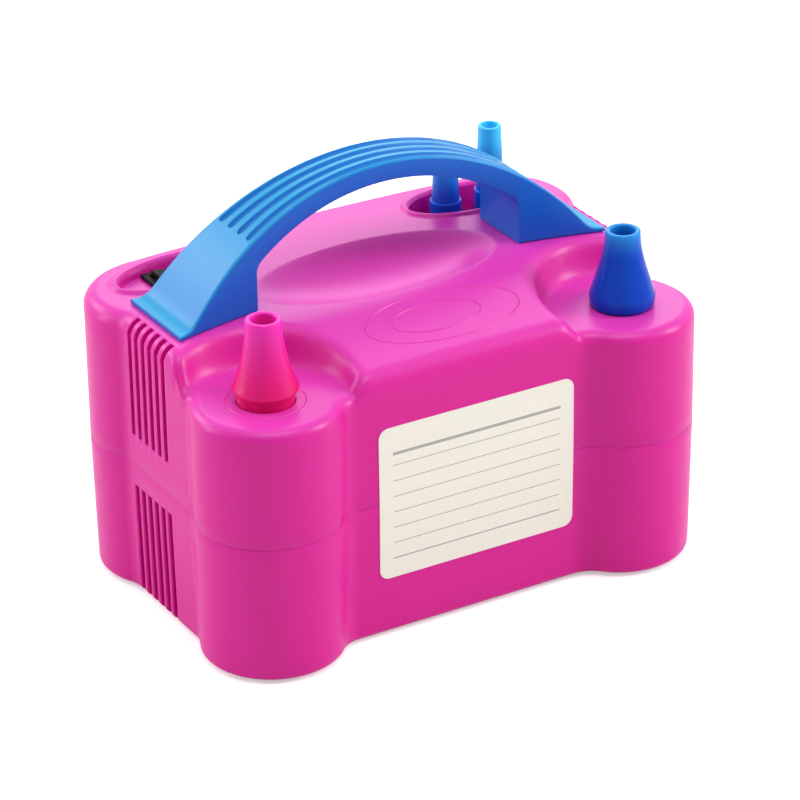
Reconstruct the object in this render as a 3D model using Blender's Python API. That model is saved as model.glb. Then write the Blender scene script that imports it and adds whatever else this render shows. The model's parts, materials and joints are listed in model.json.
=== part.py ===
"""Electric balloon inflator with two nozzles, modelled as the separate pieces it comes apart into.

The case stands on the XY plane with its length along X and its front towards -Y. Sizes are in metres.
"""
import math

import bmesh
import bpy
from mathutils import Matrix, Vector
from mathutils.geometry import delaunay_2d_cdt

# Fits
CLEARANCE = 0.0003
RUNNING_GAP = 0.0006

# Case plan: a rectangle with a round lobe at each corner, flat across the rear
LOBE_RADIUS = 0.029
LOBE_X = 0.0782
LOBE_Y = 0.0425
END_PANEL_X = 0.1025
FRONT_PANEL_Y = 0.0587
NOTCH_RADIUS = 0.012

# Case heights and walls
FOOT_HEIGHT = 0.0012
PARTING_Z = 0.0578
PLATFORM_Z = 0.106
DECK_Z = 0.1208
DECK_CROWN_RADIUS = 2.2
DECK_FALL_SLOPE = 0.2
DECK_FALL_BLEND = 0.016
WALL = 0.0025
FLOOR = 0.0028
BASE_DRAFT = 0.001
BASE_EDGE_RADIUS = 0.0025
SEAM_LIP = 0.0013
SEAM_DEPTH = 0.002

# Rounding of the top: deck edge, platform edge and the step round each nozzle platform
DECK_EDGE_RADIUS = 0.0058
PLATFORM_EDGE_RADIUS = 0.0048
STEP_RADIUS = 0.033
STEP_FOOT_RADIUS = 0.0038
STEP_WALL_RUN = 0.002

# Finger scoop in the deck under the handle
SCOOP_HALF_LENGTH = 0.053
SCOOP_HALF_WIDTH = 0.025
SCOOP_DEPTH = 0.010
SCOOP_Y = 0.010

# Oval pockets of the rear lobes
POCKET_X = 0.065
POCKET_Y = 0.0485
POCKET_HALF_LENGTH = 0.0266
POCKET_HALF_WIDTH = 0.012
POCKET_WALL_RUN = 0.0006
RIM_WIDTH = 0.0034
RIM_HEIGHT = 0.0012
SPARE_POCKET_DEPTH = 0.014
SWITCH_POCKET_DEPTH = 0.0036

# Vent slots in the end panels
VENT_COUNT = 6
VENT_Y = 0.0067
VENT_WIDTH = 0.0029
VENT_PITCH = 0.0054
VENT_REACH = 0.0045
UPPER_VENT_LOW = 0.0707
LOWER_VENT_HIGH = 0.0485

# Screws, posts and feet
SCREW_RADIUS = 0.002
SCREW_HEAD_RADIUS = 0.0038
SCREW_HEAD_HEIGHT = 0.0026
CASE_SCREW_LENGTH = 0.022
CASE_SCREW_SEAT = 0.012
HANDLE_SCREW_COVER = 0.004
POST_RADIUS = 0.006
FRONT_POST_X = 0.041
REAR_POST_X = 0.026
POST_INSET = 0.009
FOOT_RADIUS = 0.008
FOOT_SEAT = 0.001

# Handle: a circular arch with flared toes, set behind the middle
HANDLE_Y = 0.0135
HANDLE_TOP_Z = 0.1668
HANDLE_ARCH_RADIUS = 0.1075
HANDLE_THICKNESS = 0.0078
HANDLE_SPAN_RADIUS = 0.0925
HANDLE_FOOT_X = 0.0583
HANDLE_TOE_X = 0.0945
HANDLE_TOE_THICKNESS = 0.0012
HANDLE_TOE_BLEND = 0.004
HANDLE_MID_HALF_WIDTH = 0.0115
HANDLE_TOE_HALF_WIDTH = 0.0204
HANDLE_TAPER = 2.2
HANDLE_EDGE = 0.0018
HANDLE_CORNER = 0.0028
GROOVE_LINES = (-0.72, -0.24, 0.24, 0.72)
GROOVE_WIDTH = 0.0036
GROOVE_DEPTH = 0.002
GROOVE_END_X = 0.060
GROOVE_FADE = 0.004
HANDLE_SCREW_INNER_X = 0.0645
HANDLE_SCREW_OUTER_X = 0.0735

# Nozzles
PORT_X = 0.0787
PORT_Y = -0.0433
PRESS_NECK_RADIUS = 0.0110
PRESS_BASE_RADIUS = 0.0121
SPIGOT_RADIUS = 0.0100
NOZZLE_TIP_RADIUS = 0.0069
NOZZLE_BASE_RADIUS = 0.0129
NOZZLE_BORE_RADIUS = 0.0048
PRESS_FLARE = 1.65
PRESS_CONE_HEIGHT = 0.0285
PRESS_SHOULDER_GAP = 0.0048
PRESS_TRAVEL = 0.004
REMOVABLE_FLARE = 1.55
REMOVABLE_HEIGHT = 0.031
REMOVABLE_BAND = 0.004
SPIGOT_HEIGHT = 0.006
COLLAR_HEIGHT = 0.0045
COLLAR_WIDTH = 0.0035
COLLAR_LUG_REACH = 0.024
COLLAR_LUG_WIDTH = 0.008
SLEEVE_RADIUS = 0.008
SPRING_WIRE = 0.0013
SPRING_TURNS = 5
SPRING_LENGTH = 0.0095
SPARE_TIP_RADIUS = 0.0047
SPARE_ROOT_RADIUS = 0.0056
SPARE_COLLAR_RADIUS = 0.0064
SPARE_COLLAR_HEIGHT = 0.0158
SPARE_INNER_LENGTH = 0.036
SPARE_OUTER_LENGTH = 0.0434
SPARE_SPACING = 0.0208
PEG_RADIUS = 0.003
PEG_HEIGHT = 0.012

# Rocker switch
SWITCH_X = -POCKET_X
SWITCH_LENGTH = 0.0245
SWITCH_WIDTH = 0.0145
SWITCH_DEPTH = 0.018
SWITCH_FLANGE = 0.0014
SWITCH_FLANGE_HEIGHT = 0.0015
SWITCH_WALL = 0.0012
ROCKER_RISE = 0.0028
ROCKER_DIP = 0.0014
ROCKER_TRAVEL_DEG = 10
TAB_LENGTH = 0.007
TAB_WIDTH = 0.0046
TAB_THICKNESS = 0.0008

# Motor and fans, on one shaft along X
MOTOR_Z = 0.052
SHAFT_RADIUS = 0.004
CORE_RADIUS = 0.0186
CORE_SETBACK = 0.001
WINDING_RADIUS = 0.0165
WINDING_LENGTH = 0.0075
COMMUTATOR_RADIUS = 0.011
COMMUTATOR_LENGTH = 0.0095
FIELD_HALF_SIZE = 0.0295
FIELD_HALF_LENGTH = 0.022
COIL_THICKNESS = 0.005
COIL_OVERHANG = 0.0055
COIL_WINDOW_DEG = 31
BRACKET_GAP = 0.0065
BRACKET_THICKNESS = 0.004
BRACKET_LEG = 0.008
BEARING_RADIUS = 0.011
BEARING_LENGTH = 0.007
BEARING_WALL = 0.003
BRUSH_LENGTH = 0.011
BRUSH_SIZE = 0.006
BRUSH_HOLDER_WALL = 0.0015
CRADLE_LENGTH = 0.012
CRADLE_WIDTH = 0.034
IMPELLER_RADIUS = 0.034
IMPELLER_PLATE = 0.002
IMPELLER_BLADE_HEIGHT = 0.012
IMPELLER_BLADES = 8
IMPELLER_HUB_RADIUS = 0.009
BLADE_THICKNESS = 0.0016
SCROLL_START_RADIUS = 0.037
SCROLL_END_RADIUS = 0.049
SCROLL_WALL = 0.002
SCROLL_HALF_WIDTH = 0.0125
FAN_INLET_RADIUS = 0.016
TUBE_FLANGE = 0.003
TUBE_WALL = 0.0032

# Electrical pieces
MICRO_SWITCH_LENGTH = 0.010
MICRO_SWITCH_WIDTH = 0.018
MICRO_SWITCH_HEIGHT = 0.010
PLUNGER_SIZE = 0.003
CAPACITOR_LENGTH = 0.018
CAPACITOR_WIDTH = 0.009
CAPACITOR_HEIGHT = 0.014
CAPACITOR_X = -0.002
GLAND_X = -0.012
GLAND_Z = 0.024
GLAND_RADIUS = 0.007
GLAND_NECK_RADIUS = 0.005
GLAND_BORE_RADIUS = 0.0034
GLAND_FLANGE = 0.003
GLAND_SEAT = 0.0018
LEAD_RADIUS = 0.0014

# Label on the front panel
LABEL_LEFT_X = -0.040
LABEL_RIGHT_X = 0.0465
LABEL_LOW_Z = 0.0253
LABEL_HIGH_Z = 0.0893
LABEL_CORNER = 0.0045
LABEL_THICKNESS = 0.0004

# Values worked out from the sizes above
REAR_PANEL_Y = LOBE_Y + LOBE_RADIUS
DECK_FALL_Y = HANDLE_Y - HANDLE_TOE_HALF_WIDTH
MOTOR_Y = PORT_Y + (SCROLL_START_RADIUS + SCROLL_END_RADIUS) / 2
STEP_DROP = DECK_Z - PLATFORM_Z
CORE_HALF_LENGTH = FIELD_HALF_LENGTH - CORE_SETBACK
BRACKET_X = CORE_HALF_LENGTH + WINDING_LENGTH + COMMUTATOR_LENGTH + BRACKET_GAP
PRESS_PORT_RADIUS = PRESS_NECK_RADIUS + CLEARANCE
SPIGOT_PORT_RADIUS = SPIGOT_RADIUS + CLEARANCE
PLATFORM_UNDERSIDE = PLATFORM_Z - WALL
COLLAR_TOP = PLATFORM_UNDERSIDE - CLEARANCE
NECK_LOW = COLLAR_TOP - COLLAR_HEIGHT - CLEARANCE
SPRING_LOW = NECK_LOW - CLEARANCE - SPRING_LENGTH
TUBE_BORE = SLEEVE_RADIUS + CLEARANCE
TUBE_RADIUS = TUBE_BORE + TUBE_WALL
TONGUE_REACH = MOTOR_Y - PORT_Y - TUBE_RADIUS
SPOUT_TOP_Z = MOTOR_Z + math.sqrt((SCROLL_START_RADIUS + SCROLL_WALL + RUNNING_GAP) ** 2 - TONGUE_REACH ** 2)
TUBE_FLANGE_LOW = SPOUT_TOP_Z + CLEARANCE
TUBE_FLANGE_HIGH = TUBE_FLANGE_LOW + TUBE_FLANGE
SLEEVE_LOW = TUBE_FLANGE_LOW + PRESS_TRAVEL + CLEARANCE
PORTS = ((-PORT_X, PORT_Y), (PORT_X, PORT_Y))
SIDES = (("left", -1), ("right", 1))

# Fineness of the facets
NOTCH_STEPS = 7
LOBE_STEPS = 10
PANEL_STEPS = 5
ROUND = 20
SMALL_ROUND = 12


# Finishes

def finish(name, colour, roughness, metallic=0.0):
    """A plain Principled material."""
    made = bpy.data.materials.new(name)
    made.use_nodes = True
    shader = made.node_tree.nodes["Principled BSDF"]
    shader.inputs["Base Color"].default_value = (*colour, 1.0)
    shader.inputs["Roughness"].default_value = roughness
    shader.inputs["Metallic"].default_value = metallic
    return made


# Building meshes

def turned(profile, segments=ROUND):
    """Turn a closed outline of (radius, height) points round the Z axis."""
    bm = bmesh.new()
    rings = []
    for radius, height in profile:
        count = segments if radius > 0 else 1
        turns = [math.tau * k / segments for k in range(count)]
        rings.append([bm.verts.new((radius * math.cos(a), radius * math.sin(a), height)) for a in turns])
    for low, high in zip(rings, rings[1:] + rings[:1]):
        if len(low) == len(high) == 1:
            continue
        for k in range(segments):
            following = (k + 1) % segments
            corners = [low[k % len(low)], low[following % len(low)],
                       high[following % len(high)], high[k % len(high)]]
            bm.faces.new(dict.fromkeys(corners))
    return bm


def lofted(rings):
    """Skin a list of rings with equal point counts and close both ends."""
    bm = bmesh.new()
    loops = [[bm.verts.new(point) for point in ring] for ring in rings]
    bm.faces.new(reversed(loops[0]))
    bm.faces.new(loops[-1])
    skin(bm, loops)
    return bm


def skin(bm, loops):
    """Join each ring to the next with quads."""
    faces = []
    for low, high in zip(loops, loops[1:]):
        for k in range(len(low)):
            following = (k + 1) % len(low)
            faces.append(bm.faces.new((low[k], low[following], high[following], high[k])))
    return faces


def prism(outline, low, high):
    """Raise an XY outline from one height to another."""
    return lofted([[(x, y, z) for x, y in outline] for z in (low, high)])


def prism_along_x(outline, low, high):
    """Push a YZ outline from one X to another."""
    return lofted([[(x, y, z) for y, z in outline] for x in (low, high)])


def blocks(*corners):
    """Boxes, each between a low and a high corner."""
    bm = bmesh.new()
    for low, high in corners:
        centre = [(a + b) / 2 for a, b in zip(low, high)]
        size = [abs(b - a) for a, b in zip(low, high)]
        place = Matrix.Translation(centre) @ Matrix.Diagonal((*size, 1.0))
        bmesh.ops.create_cube(bm, size=1.0, matrix=place)
    return bm


def rods(places, radius, low, high, segments=SMALL_ROUND):
    """Upright round bars at XY places."""
    bm = bmesh.new()
    for x, y in places:
        place = Matrix.Translation((x, y, (low + high) / 2))
        bmesh.ops.create_cone(bm, cap_ends=True, segments=segments, radius1=radius, radius2=radius,
                              depth=high - low, matrix=place)
    return bm


def arc(centre, radius, start, end, steps):
    """Points on a circle from one angle to another."""
    angles = [start + (end - start) * k / steps for k in range(steps + 1)]
    return [(centre[0] + radius * math.cos(a), centre[1] + radius * math.sin(a)) for a in angles]


def rounded_rectangle(low, high, radius, steps=3):
    """Outline of a rectangle with round corners, anticlockwise."""
    centres = ((high[0] - radius, high[1] - radius), (low[0] + radius, high[1] - radius),
               (low[0] + radius, low[1] + radius), (high[0] - radius, low[1] + radius))
    points = []
    for k, centre in enumerate(centres):
        points += arc(centre, radius, k * math.pi / 2, (k + 1) * math.pi / 2, steps)
    return points


def place(name, bm, material, location=(0, 0, 0), rotation=(0, 0, 0), parent=None):
    """Turn a bmesh into a named object with smooth round faces."""
    bmesh.ops.recalc_face_normals(bm, faces=bm.faces)
    mesh = bpy.data.meshes.new(name)
    bm.to_mesh(mesh)
    bm.free()
    obj = bpy.data.objects.new(name, mesh)
    bpy.context.collection.objects.link(obj)
    obj.location = location
    obj.rotation_euler = rotation
    obj.parent = parent
    if material:
        mesh.materials.append(material)
    smooth(mesh)
    return obj


def smooth(mesh):
    """Shade round faces smooth and keep real edges sharp."""
    mesh.shade_smooth()
    mesh.set_sharp_from_angle(angle=math.radians(32))


def combine(obj, bm, operation):
    """Cut, join or intersect an object with a bmesh in world space."""
    tool = place("tool", bm, None)
    step = obj.modifiers.new("combine", "BOOLEAN")
    step.operation = operation
    step.object = tool
    graph = bpy.context.evaluated_depsgraph_get()
    result = bpy.data.meshes.new_from_object(obj.evaluated_get(graph))
    obj.modifiers.clear()
    obj.data = result
    bpy.data.objects.remove(tool)
    smooth(result)


def cut(obj, bm):
    """Take a shape away."""
    combine(obj, bm, "DIFFERENCE")


def join(obj, bm):
    """Add a shape."""
    combine(obj, bm, "UNION")


# Plan of the case

def corner_outline(inset, notched):
    """The lobe in the corner at +X +Y, from the end panel to a notched or a flat long side."""
    reach = LOBE_RADIUS + NOTCH_RADIUS
    end_dx = END_PANEL_X + NOTCH_RADIUS - LOBE_X
    end_dy = math.sqrt(reach ** 2 - end_dx ** 2)
    end_notch = (LOBE_X + end_dx, LOBE_Y - end_dy)
    end_angle = math.atan2(end_dy, -end_dx)
    lobe = (LOBE_X, LOBE_Y)
    points = arc(end_notch, NOTCH_RADIUS + inset, math.pi, end_angle, NOTCH_STEPS)
    if not notched:
        return points + arc(lobe, LOBE_RADIUS - inset, end_angle - math.pi, math.pi / 2, LOBE_STEPS)[1:]
    side_dy = FRONT_PANEL_Y + NOTCH_RADIUS - LOBE_Y
    side_dx = math.sqrt(reach ** 2 - side_dy ** 2)
    side_notch = (LOBE_X - side_dx, LOBE_Y + side_dy)
    side_angle = math.atan2(-side_dy, side_dx)
    points += arc(lobe, LOBE_RADIUS - inset, end_angle - math.pi, side_angle + math.pi, LOBE_STEPS)[1:]
    return points + arc(side_notch, NOTCH_RADIUS + inset, side_angle, -math.pi / 2, NOTCH_STEPS)[1:]


def case_outline(inset):
    """The whole plan, moved inwards by an inset, anticlockwise."""
    rear = corner_outline(inset, False)
    front = corner_outline(inset, True)
    quarters = (rear,
                [(-x, y) for x, y in reversed(rear)],
                [(-x, -y) for x, y in front],
                [(x, -y) for x, y in reversed(front)])
    points = []
    for current, following in zip(quarters, quarters[1:] + quarters[:1]):
        points += current
        start, end = Vector(current[-1]), Vector(following[0])
        points += [tuple(start.lerp(end, k / PANEL_STEPS)) for k in range(1, PANEL_STEPS)]
    return points


def ring(inset, height):
    """The plan at one height."""
    return [(x, y, height) for x, y in case_outline(inset)]


# Top surface of the upper shell

def edge_drop(distance, radius):
    """How far a rounded edge has fallen at a distance inside it."""
    inside = min(max(distance, 0.0), radius)
    return radius - math.sqrt(radius ** 2 - (radius - inside) ** 2)


def deck_height(x, y):
    """The deck: crowned along its length, falling towards the front from the handle onwards."""
    ahead = max(0.0, DECK_FALL_Y - y)
    blend = min(ahead, DECK_FALL_BLEND)
    fall = DECK_FALL_SLOPE * (blend ** 2 / (2 * DECK_FALL_BLEND) + ahead - blend)
    return DECK_Z - x ** 2 / (2 * DECK_CROWN_RADIUS) - fall


def step_share(distance):
    """Share of the step between platform and deck climbed at a distance outside the step circle."""
    crest = min(DECK_EDGE_RADIUS, STEP_DROP * 0.45)
    foot = min(STEP_FOOT_RADIUS, STEP_DROP * 0.45)
    if distance >= 0:
        return 1 - edge_drop(distance, crest) / STEP_DROP
    run = -distance / STEP_WALL_RUN
    if run < 1:
        return (foot + (STEP_DROP - crest - foot) * (1 - run)) / STEP_DROP
    return edge_drop(-distance - STEP_WALL_RUN, foot) / STEP_DROP


def oval_distance(x, y, side):
    """Distance outside the mouth of the pocket on one side."""
    along = (x - side * POCKET_X) / POCKET_HALF_LENGTH
    over = (y - POCKET_Y) / POCKET_HALF_WIDTH
    share = math.hypot(along, over)
    if share < 0.5:
        return -POCKET_HALF_WIDTH / 2
    slope = math.hypot(along / POCKET_HALF_LENGTH, over / POCKET_HALF_WIDTH)
    return (share - 1) * share / slope


def pocket_floor(side):
    """Height of a pocket's floor."""
    depth = SPARE_POCKET_DEPTH if side > 0 else SWITCH_POCKET_DEPTH
    return deck_height(POCKET_X, POCKET_Y) - depth


def top_height(x, y, inset, wall):
    """Height of the top skin, or of the hollow under it where wall is the wall's thickness."""
    deck = deck_height(x, y) - wall - edge_drop(inset, DECK_EDGE_RADIUS - wall)
    platform = PLATFORM_Z - wall - edge_drop(inset, PLATFORM_EDGE_RADIUS - wall)
    step = min(math.hypot(x - px, y - py) for px, py in PORTS) - STEP_RADIUS - wall
    height = platform + (deck - platform) * step_share(step)
    across = math.hypot(x / (SCOOP_HALF_LENGTH + wall), (y - SCOOP_Y) / (SCOOP_HALF_WIDTH + wall))
    height -= SCOOP_DEPTH * max(0.0, 1 - across ** 2)
    for _, side in SIDES:
        mouth = oval_distance(x, y, side) - wall
        floor = pocket_floor(side) - wall
        if mouth <= 0:
            height = floor + (height - floor) * max(0.0, 1 + mouth / POCKET_WALL_RUN)
        elif mouth < RIM_WIDTH and wall == 0:
            height += RIM_HEIGHT * math.sin(math.pi * mouth / RIM_WIDTH)
    return height


def oval(centre, half_length, half_width, count, outset=0.0):
    """Points on an ellipse, moved outwards along its normals."""
    points = []
    for k in range(count):
        turn = math.tau * k / count
        normal = Vector((math.cos(turn) / half_length, math.sin(turn) / half_width)).normalized()
        points.append((centre[0] + half_length * math.cos(turn) + outset * normal.x,
                       centre[1] + half_width * math.sin(turn) + outset * normal.y))
    return points


def surface_loops(wall):
    """Closed lines that the top skin must follow: steps, scoop and pockets."""
    foot = STEP_FOOT_RADIUS
    crest = DECK_EDGE_RADIUS
    levels = (-STEP_WALL_RUN - foot, -STEP_WALL_RUN - 0.3 * foot, -STEP_WALL_RUN, 0.0, 0.3 * crest, crest)
    loops = []
    for port in PORTS:
        loops += [oval(port, STEP_RADIUS + wall, STEP_RADIUS + wall, 36, level) for level in levels]
    for share, count in ((1.0, 28), (0.8, 24), (0.55, 18), (0.28, 10)):
        half_length = share * (SCOOP_HALF_LENGTH + wall)
        half_width = share * (SCOOP_HALF_WIDTH + wall)
        loops.append(oval((0, SCOOP_Y), half_length, half_width, count))
    levels = (-POCKET_WALL_RUN, 0.0) if wall else (-POCKET_WALL_RUN, 0.0, RIM_WIDTH / 2, RIM_WIDTH)
    for _, side in SIDES:
        centre = (side * POCKET_X, POCKET_Y)
        loops += [oval(centre, POCKET_HALF_LENGTH, POCKET_HALF_WIDTH, 24, wall + level) for level in levels]
    return loops


def grid_points():
    """A wide grid of places to fill the plain areas."""
    pitch = LOBE_RADIUS / 2
    return [(column * pitch, row * pitch) for column in range(-7, 8) for row in range(-5, 6)]


def within(point, fence, least):
    """Whether a point lies inside a closed line and no closer to it than least."""
    inside = False
    for a, b in zip(fence, fence[1:] + fence[:1]):
        if (a[1] > point[1]) != (b[1] > point[1]):
            if point[0] < a[0] + (point[1] - a[1]) * (b[0] - a[0]) / (b[1] - a[1]):
                inside = not inside
        along = Vector(b) - Vector(a)
        share = max(0.0, min(1.0, (Vector(point) - Vector(a)).dot(along) / along.length_squared))
        if (Vector(a) + along * share - Vector(point)).length < least:
            return False
    return inside


def skin_plan(fence, wall):
    """Points and lines in plan for the top skin inside a fence."""
    points = list(fence)
    lines = []
    for loop in surface_loops(wall):
        places = []
        for point in loop:
            if within(point, fence, STEP_WALL_RUN):
                places.append(len(points))
                points.append(point)
            else:
                places.append(None)
        lines += [pair for pair in zip(places, places[1:] + places[:1]) if None not in pair]
    least = LOBE_RADIUS / 6
    for point in grid_points():
        if within(point, fence, least) and all(math.dist(point, other) > least for other in points):
            points.append(point)
    return points, lines


def crowned_body(skirt, wall):
    """Closed solid under the top skin, from a skirt of (inset, height) rings upwards."""
    bm = bmesh.new()
    edge = DECK_EDGE_RADIUS - wall
    insets = [edge * (1 - math.cos(math.radians(turn))) for turn in (0, 30, 60, 90)]
    rings = [ring(inset, height) for inset, height in skirt]
    for inset in insets:
        rings.append([(x, y, top_height(x, y, inset, wall)) for x, y in case_outline(wall + inset)])
    loops = [[bm.verts.new(point) for point in points] for points in rings]
    bm.faces.new(reversed(loops[0]))
    skin(bm, loops[:len(skirt) + 1])
    rounding = skin(bm, loops[len(skirt):])
    bmesh.ops.triangulate(bm, faces=rounding)
    fence = [point[:2] for point in rings[-1]]
    points, lines = skin_plan(fence, wall)
    flat = [Vector(point) for point in points]
    corners, _, faces, origins, _, _ = delaunay_2d_cdt(flat, lines, [list(range(len(fence)))], 1, 1e-7)
    verts = []
    for corner, sources in zip(corners, origins):
        if sources and sources[0] < len(fence):
            verts.append(loops[-1][sources[0]])
        else:
            height = top_height(corner.x, corner.y, edge, wall)
            verts.append(bm.verts.new((corner.x, corner.y, height)))
    for face in faces:
        bm.faces.new([verts[k] for k in face])
    return bm


# Case

def vents(low, high):
    """Cutters for the slots of both end panels."""
    boxes = []
    for _, side in SIDES:
        for k in range(VENT_COUNT):
            y = VENT_Y + (k - (VENT_COUNT - 1) / 2) * VENT_PITCH
            near = side * (END_PANEL_X - VENT_REACH)
            far = side * (END_PANEL_X + VENT_REACH)
            boxes.append(((near, y - VENT_WIDTH / 2, low), (far, y + VENT_WIDTH / 2, high)))
    return blocks(*boxes)


def post_places():
    """Where the case screws stand."""
    front = POST_INSET - FRONT_PANEL_Y
    rear = REAR_PANEL_Y - POST_INSET
    return [(-FRONT_POST_X, front), (FRONT_POST_X, front), (-REAR_POST_X, rear), (REAR_POST_X, rear)]


def lobe_places():
    """Centres of the four lobes."""
    return [(x, y) for y in (-LOBE_Y, LOBE_Y) for x in (-LOBE_X, LOBE_X)]


def handle_screw_places():
    """Where the handle is screwed to the deck."""
    return [(x, HANDLE_Y) for x in (-HANDLE_SCREW_OUTER_X, -HANDLE_SCREW_INNER_X,
                                    HANDLE_SCREW_INNER_X, HANDLE_SCREW_OUTER_X)]


def spare_places():
    """Where the two spare nozzles stand."""
    return [(POCKET_X + shift, POCKET_Y) for shift in (-SPARE_SPACING / 2, SPARE_SPACING / 2)]


def lower_shell(material):
    base = FOOT_HEIGHT
    seam = PARTING_Z - CLEARANCE / 2
    tongue = PARTING_Z + SEAM_DEPTH
    rings = [ring(BASE_DRAFT + BASE_EDGE_RADIUS, base),
             ring(BASE_DRAFT + 0.3 * BASE_EDGE_RADIUS, base + 0.3 * BASE_EDGE_RADIUS),
             ring(BASE_DRAFT, base + BASE_EDGE_RADIUS),
             ring(0, seam),
             ring(SEAM_LIP, seam),
             ring(SEAM_LIP, tongue),
             ring(WALL, tongue),
             ring(WALL + BASE_DRAFT, base + FLOOR)]
    shell = place("lower_shell", lofted(rings), material)
    join(shell, rods(post_places(), POST_RADIUS, base + FLOOR / 2, seam + CLEARANCE))
    seat = PARTING_Z - CASE_SCREW_SEAT
    cut(shell, rods(post_places(), SCREW_HEAD_RADIUS + CLEARANCE, -WALL, seat))
    cut(shell, rods(post_places(), SCREW_RADIUS + CLEARANCE, seat - WALL, tongue + WALL))
    cut(shell, rods(lobe_places(), FOOT_RADIUS + CLEARANCE, -WALL, base + FOOT_SEAT, ROUND))
    cut(shell, vents(-WALL, LOWER_VENT_HIGH))
    neck = GLAND_NECK_RADIUS + CLEARANCE
    rim = GLAND_RADIUS + CLEARANCE
    deep = -3 * WALL
    hole = turned([(0, deep), (neck, deep), (neck, -GLAND_SEAT), (rim, -GLAND_SEAT), (rim, WALL), (0, WALL)],
                  SMALL_ROUND + 4)
    to_panel = Matrix.Translation((GLAND_X, REAR_PANEL_Y, GLAND_Z))
    hole.transform(to_panel @ Matrix.Rotation(-math.pi / 2, 4, "X"))
    cut(shell, hole)
    return shell


def upper_shell(material):
    seam = PARTING_Z + CLEARANCE / 2
    rebate = PARTING_Z + SEAM_DEPTH + CLEARANCE
    shell = place("upper_shell", crowned_body([(0, seam)], 0), material)
    hollow = [(SEAM_LIP - CLEARANCE, seam - WALL), (SEAM_LIP - CLEARANCE, rebate), (WALL, rebate)]
    cut(shell, crowned_body(hollow, WALL))
    for x, y in post_places():
        join(shell, rods([(x, y)], POST_RADIUS, seam + CLEARANCE, deck_height(x, y) - WALL / 2))
    pilot_top = PARTING_Z - CASE_SCREW_SEAT + CASE_SCREW_LENGTH + WALL
    cut(shell, rods(post_places(), SCREW_RADIUS + CLEARANCE, seam - WALL, pilot_top))
    floor = pocket_floor(1)
    join(shell, rods(spare_places(), PEG_RADIUS, floor - WALL / 2, floor + PEG_HEIGHT))
    for port, radius in zip(PORTS, (PRESS_PORT_RADIUS, SPIGOT_PORT_RADIUS)):
        cut(shell, rods([port], radius, PLATFORM_UNDERSIDE - WALL, PLATFORM_Z + WALL, ROUND))
    cut(shell, rods(handle_screw_places(), SCREW_RADIUS + CLEARANCE, PLATFORM_Z, DECK_Z + WALL))
    half_length = SWITCH_LENGTH / 2 + CLEARANCE
    half_width = SWITCH_WIDTH / 2 + CLEARANCE
    floor = pocket_floor(-1)
    cut(shell, blocks(((SWITCH_X - half_length, POCKET_Y - half_width, floor - 2 * WALL),
                       (SWITCH_X + half_length, POCKET_Y + half_width, floor + WALL))))
    cut(shell, vents(UPPER_VENT_LOW, DECK_Z + WALL))
    return shell


def screw(name, material, location, length):
    """A round headed screw pointing up, with its head's seat at the origin."""
    profile = [(0, -SCREW_HEAD_HEIGHT), (SCREW_HEAD_RADIUS * 0.8, -SCREW_HEAD_HEIGHT),
               (SCREW_HEAD_RADIUS, -SCREW_HEAD_HEIGHT / 2), (SCREW_HEAD_RADIUS, 0),
               (SCREW_RADIUS, 0), (SCREW_RADIUS, length - SCREW_RADIUS), (0, length)]
    return place(name, turned(profile, SMALL_ROUND), material, location)


def case_screws(material):
    seat = PARTING_Z - CASE_SCREW_SEAT - CLEARANCE
    names = ("front_left", "front_right", "rear_left", "rear_right")
    for name, (x, y) in zip(names, post_places()):
        screw(f"case_screw_{name}", material, (x, y, seat), CASE_SCREW_LENGTH)


def handle_screws(material):
    names = ("left_outer", "left_inner", "right_inner", "right_outer")
    for name, (x, y) in zip(names, handle_screw_places()):
        seat = deck_height(HANDLE_SCREW_OUTER_X, HANDLE_Y) - WALL - CLEARANCE
        screw(f"handle_screw_{name}", material, (x, y, seat), handle_screw_tip() - seat)


def feet(material):
    names = ("front_left", "front_right", "rear_left", "rear_right")
    top = FOOT_HEIGHT + FOOT_SEAT - CLEARANCE
    profile = [(0, 0), (FOOT_RADIUS - FOOT_SEAT, 0), (FOOT_RADIUS, FOOT_SEAT), (FOOT_RADIUS, top), (0, top)]
    for name, (x, y) in zip(names, lobe_places()):
        place(f"foot_{name}", turned(profile), material, (x, y, 0))


def label(material):
    """A thin plate that follows the front panel, which leans in below the parting line."""
    outline = rounded_rectangle((LABEL_LEFT_X, LABEL_LOW_Z), (LABEL_RIGHT_X, LABEL_HIGH_Z), LABEL_CORNER)
    crease = [(LABEL_RIGHT_X, PARTING_Z), (LABEL_LEFT_X, PARTING_Z)]
    half = len(outline) // 2
    outline = [crease[0]] + outline[:half] + [crease[1]] + outline[half:]

    def panel_y(z):
        below = max(0.0, PARTING_Z - z) / (PARTING_Z - FOOT_HEIGHT)
        return -FRONT_PANEL_Y + BASE_DRAFT * below

    rings = []
    for gap in (CLEARANCE, CLEARANCE + LABEL_THICKNESS):
        rings.append([(x, panel_y(z) - gap, z) for x, z in outline])
    bm = lofted(rings)
    bmesh.ops.connect_verts(bm, verts=[v for v in bm.verts if abs(v.co.z - PARTING_Z) < CLEARANCE / 10])
    bmesh.ops.triangulate(bm, faces=bm.faces)
    return place("rating_label", bm, material)


# Handle

def handle_top(x):
    """Height of the handle's top: an arch that flares into a thin toe."""
    arch = HANDLE_TOP_Z - HANDLE_ARCH_RADIUS + math.sqrt(HANDLE_ARCH_RADIUS ** 2 - x ** 2)
    lip = deck_height(x, HANDLE_Y) + CLEARANCE + HANDLE_TOE_THICKNESS
    rise = arch - lip
    return lip + (rise + math.hypot(rise, HANDLE_TOE_BLEND)) / 2


def handle_screw_tip():
    """Height of the handle screws' tips, under a cover of plastic at the outer screws."""
    return handle_top(HANDLE_SCREW_OUTER_X + SCREW_RADIUS + CLEARANCE) - HANDLE_SCREW_COVER


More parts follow.
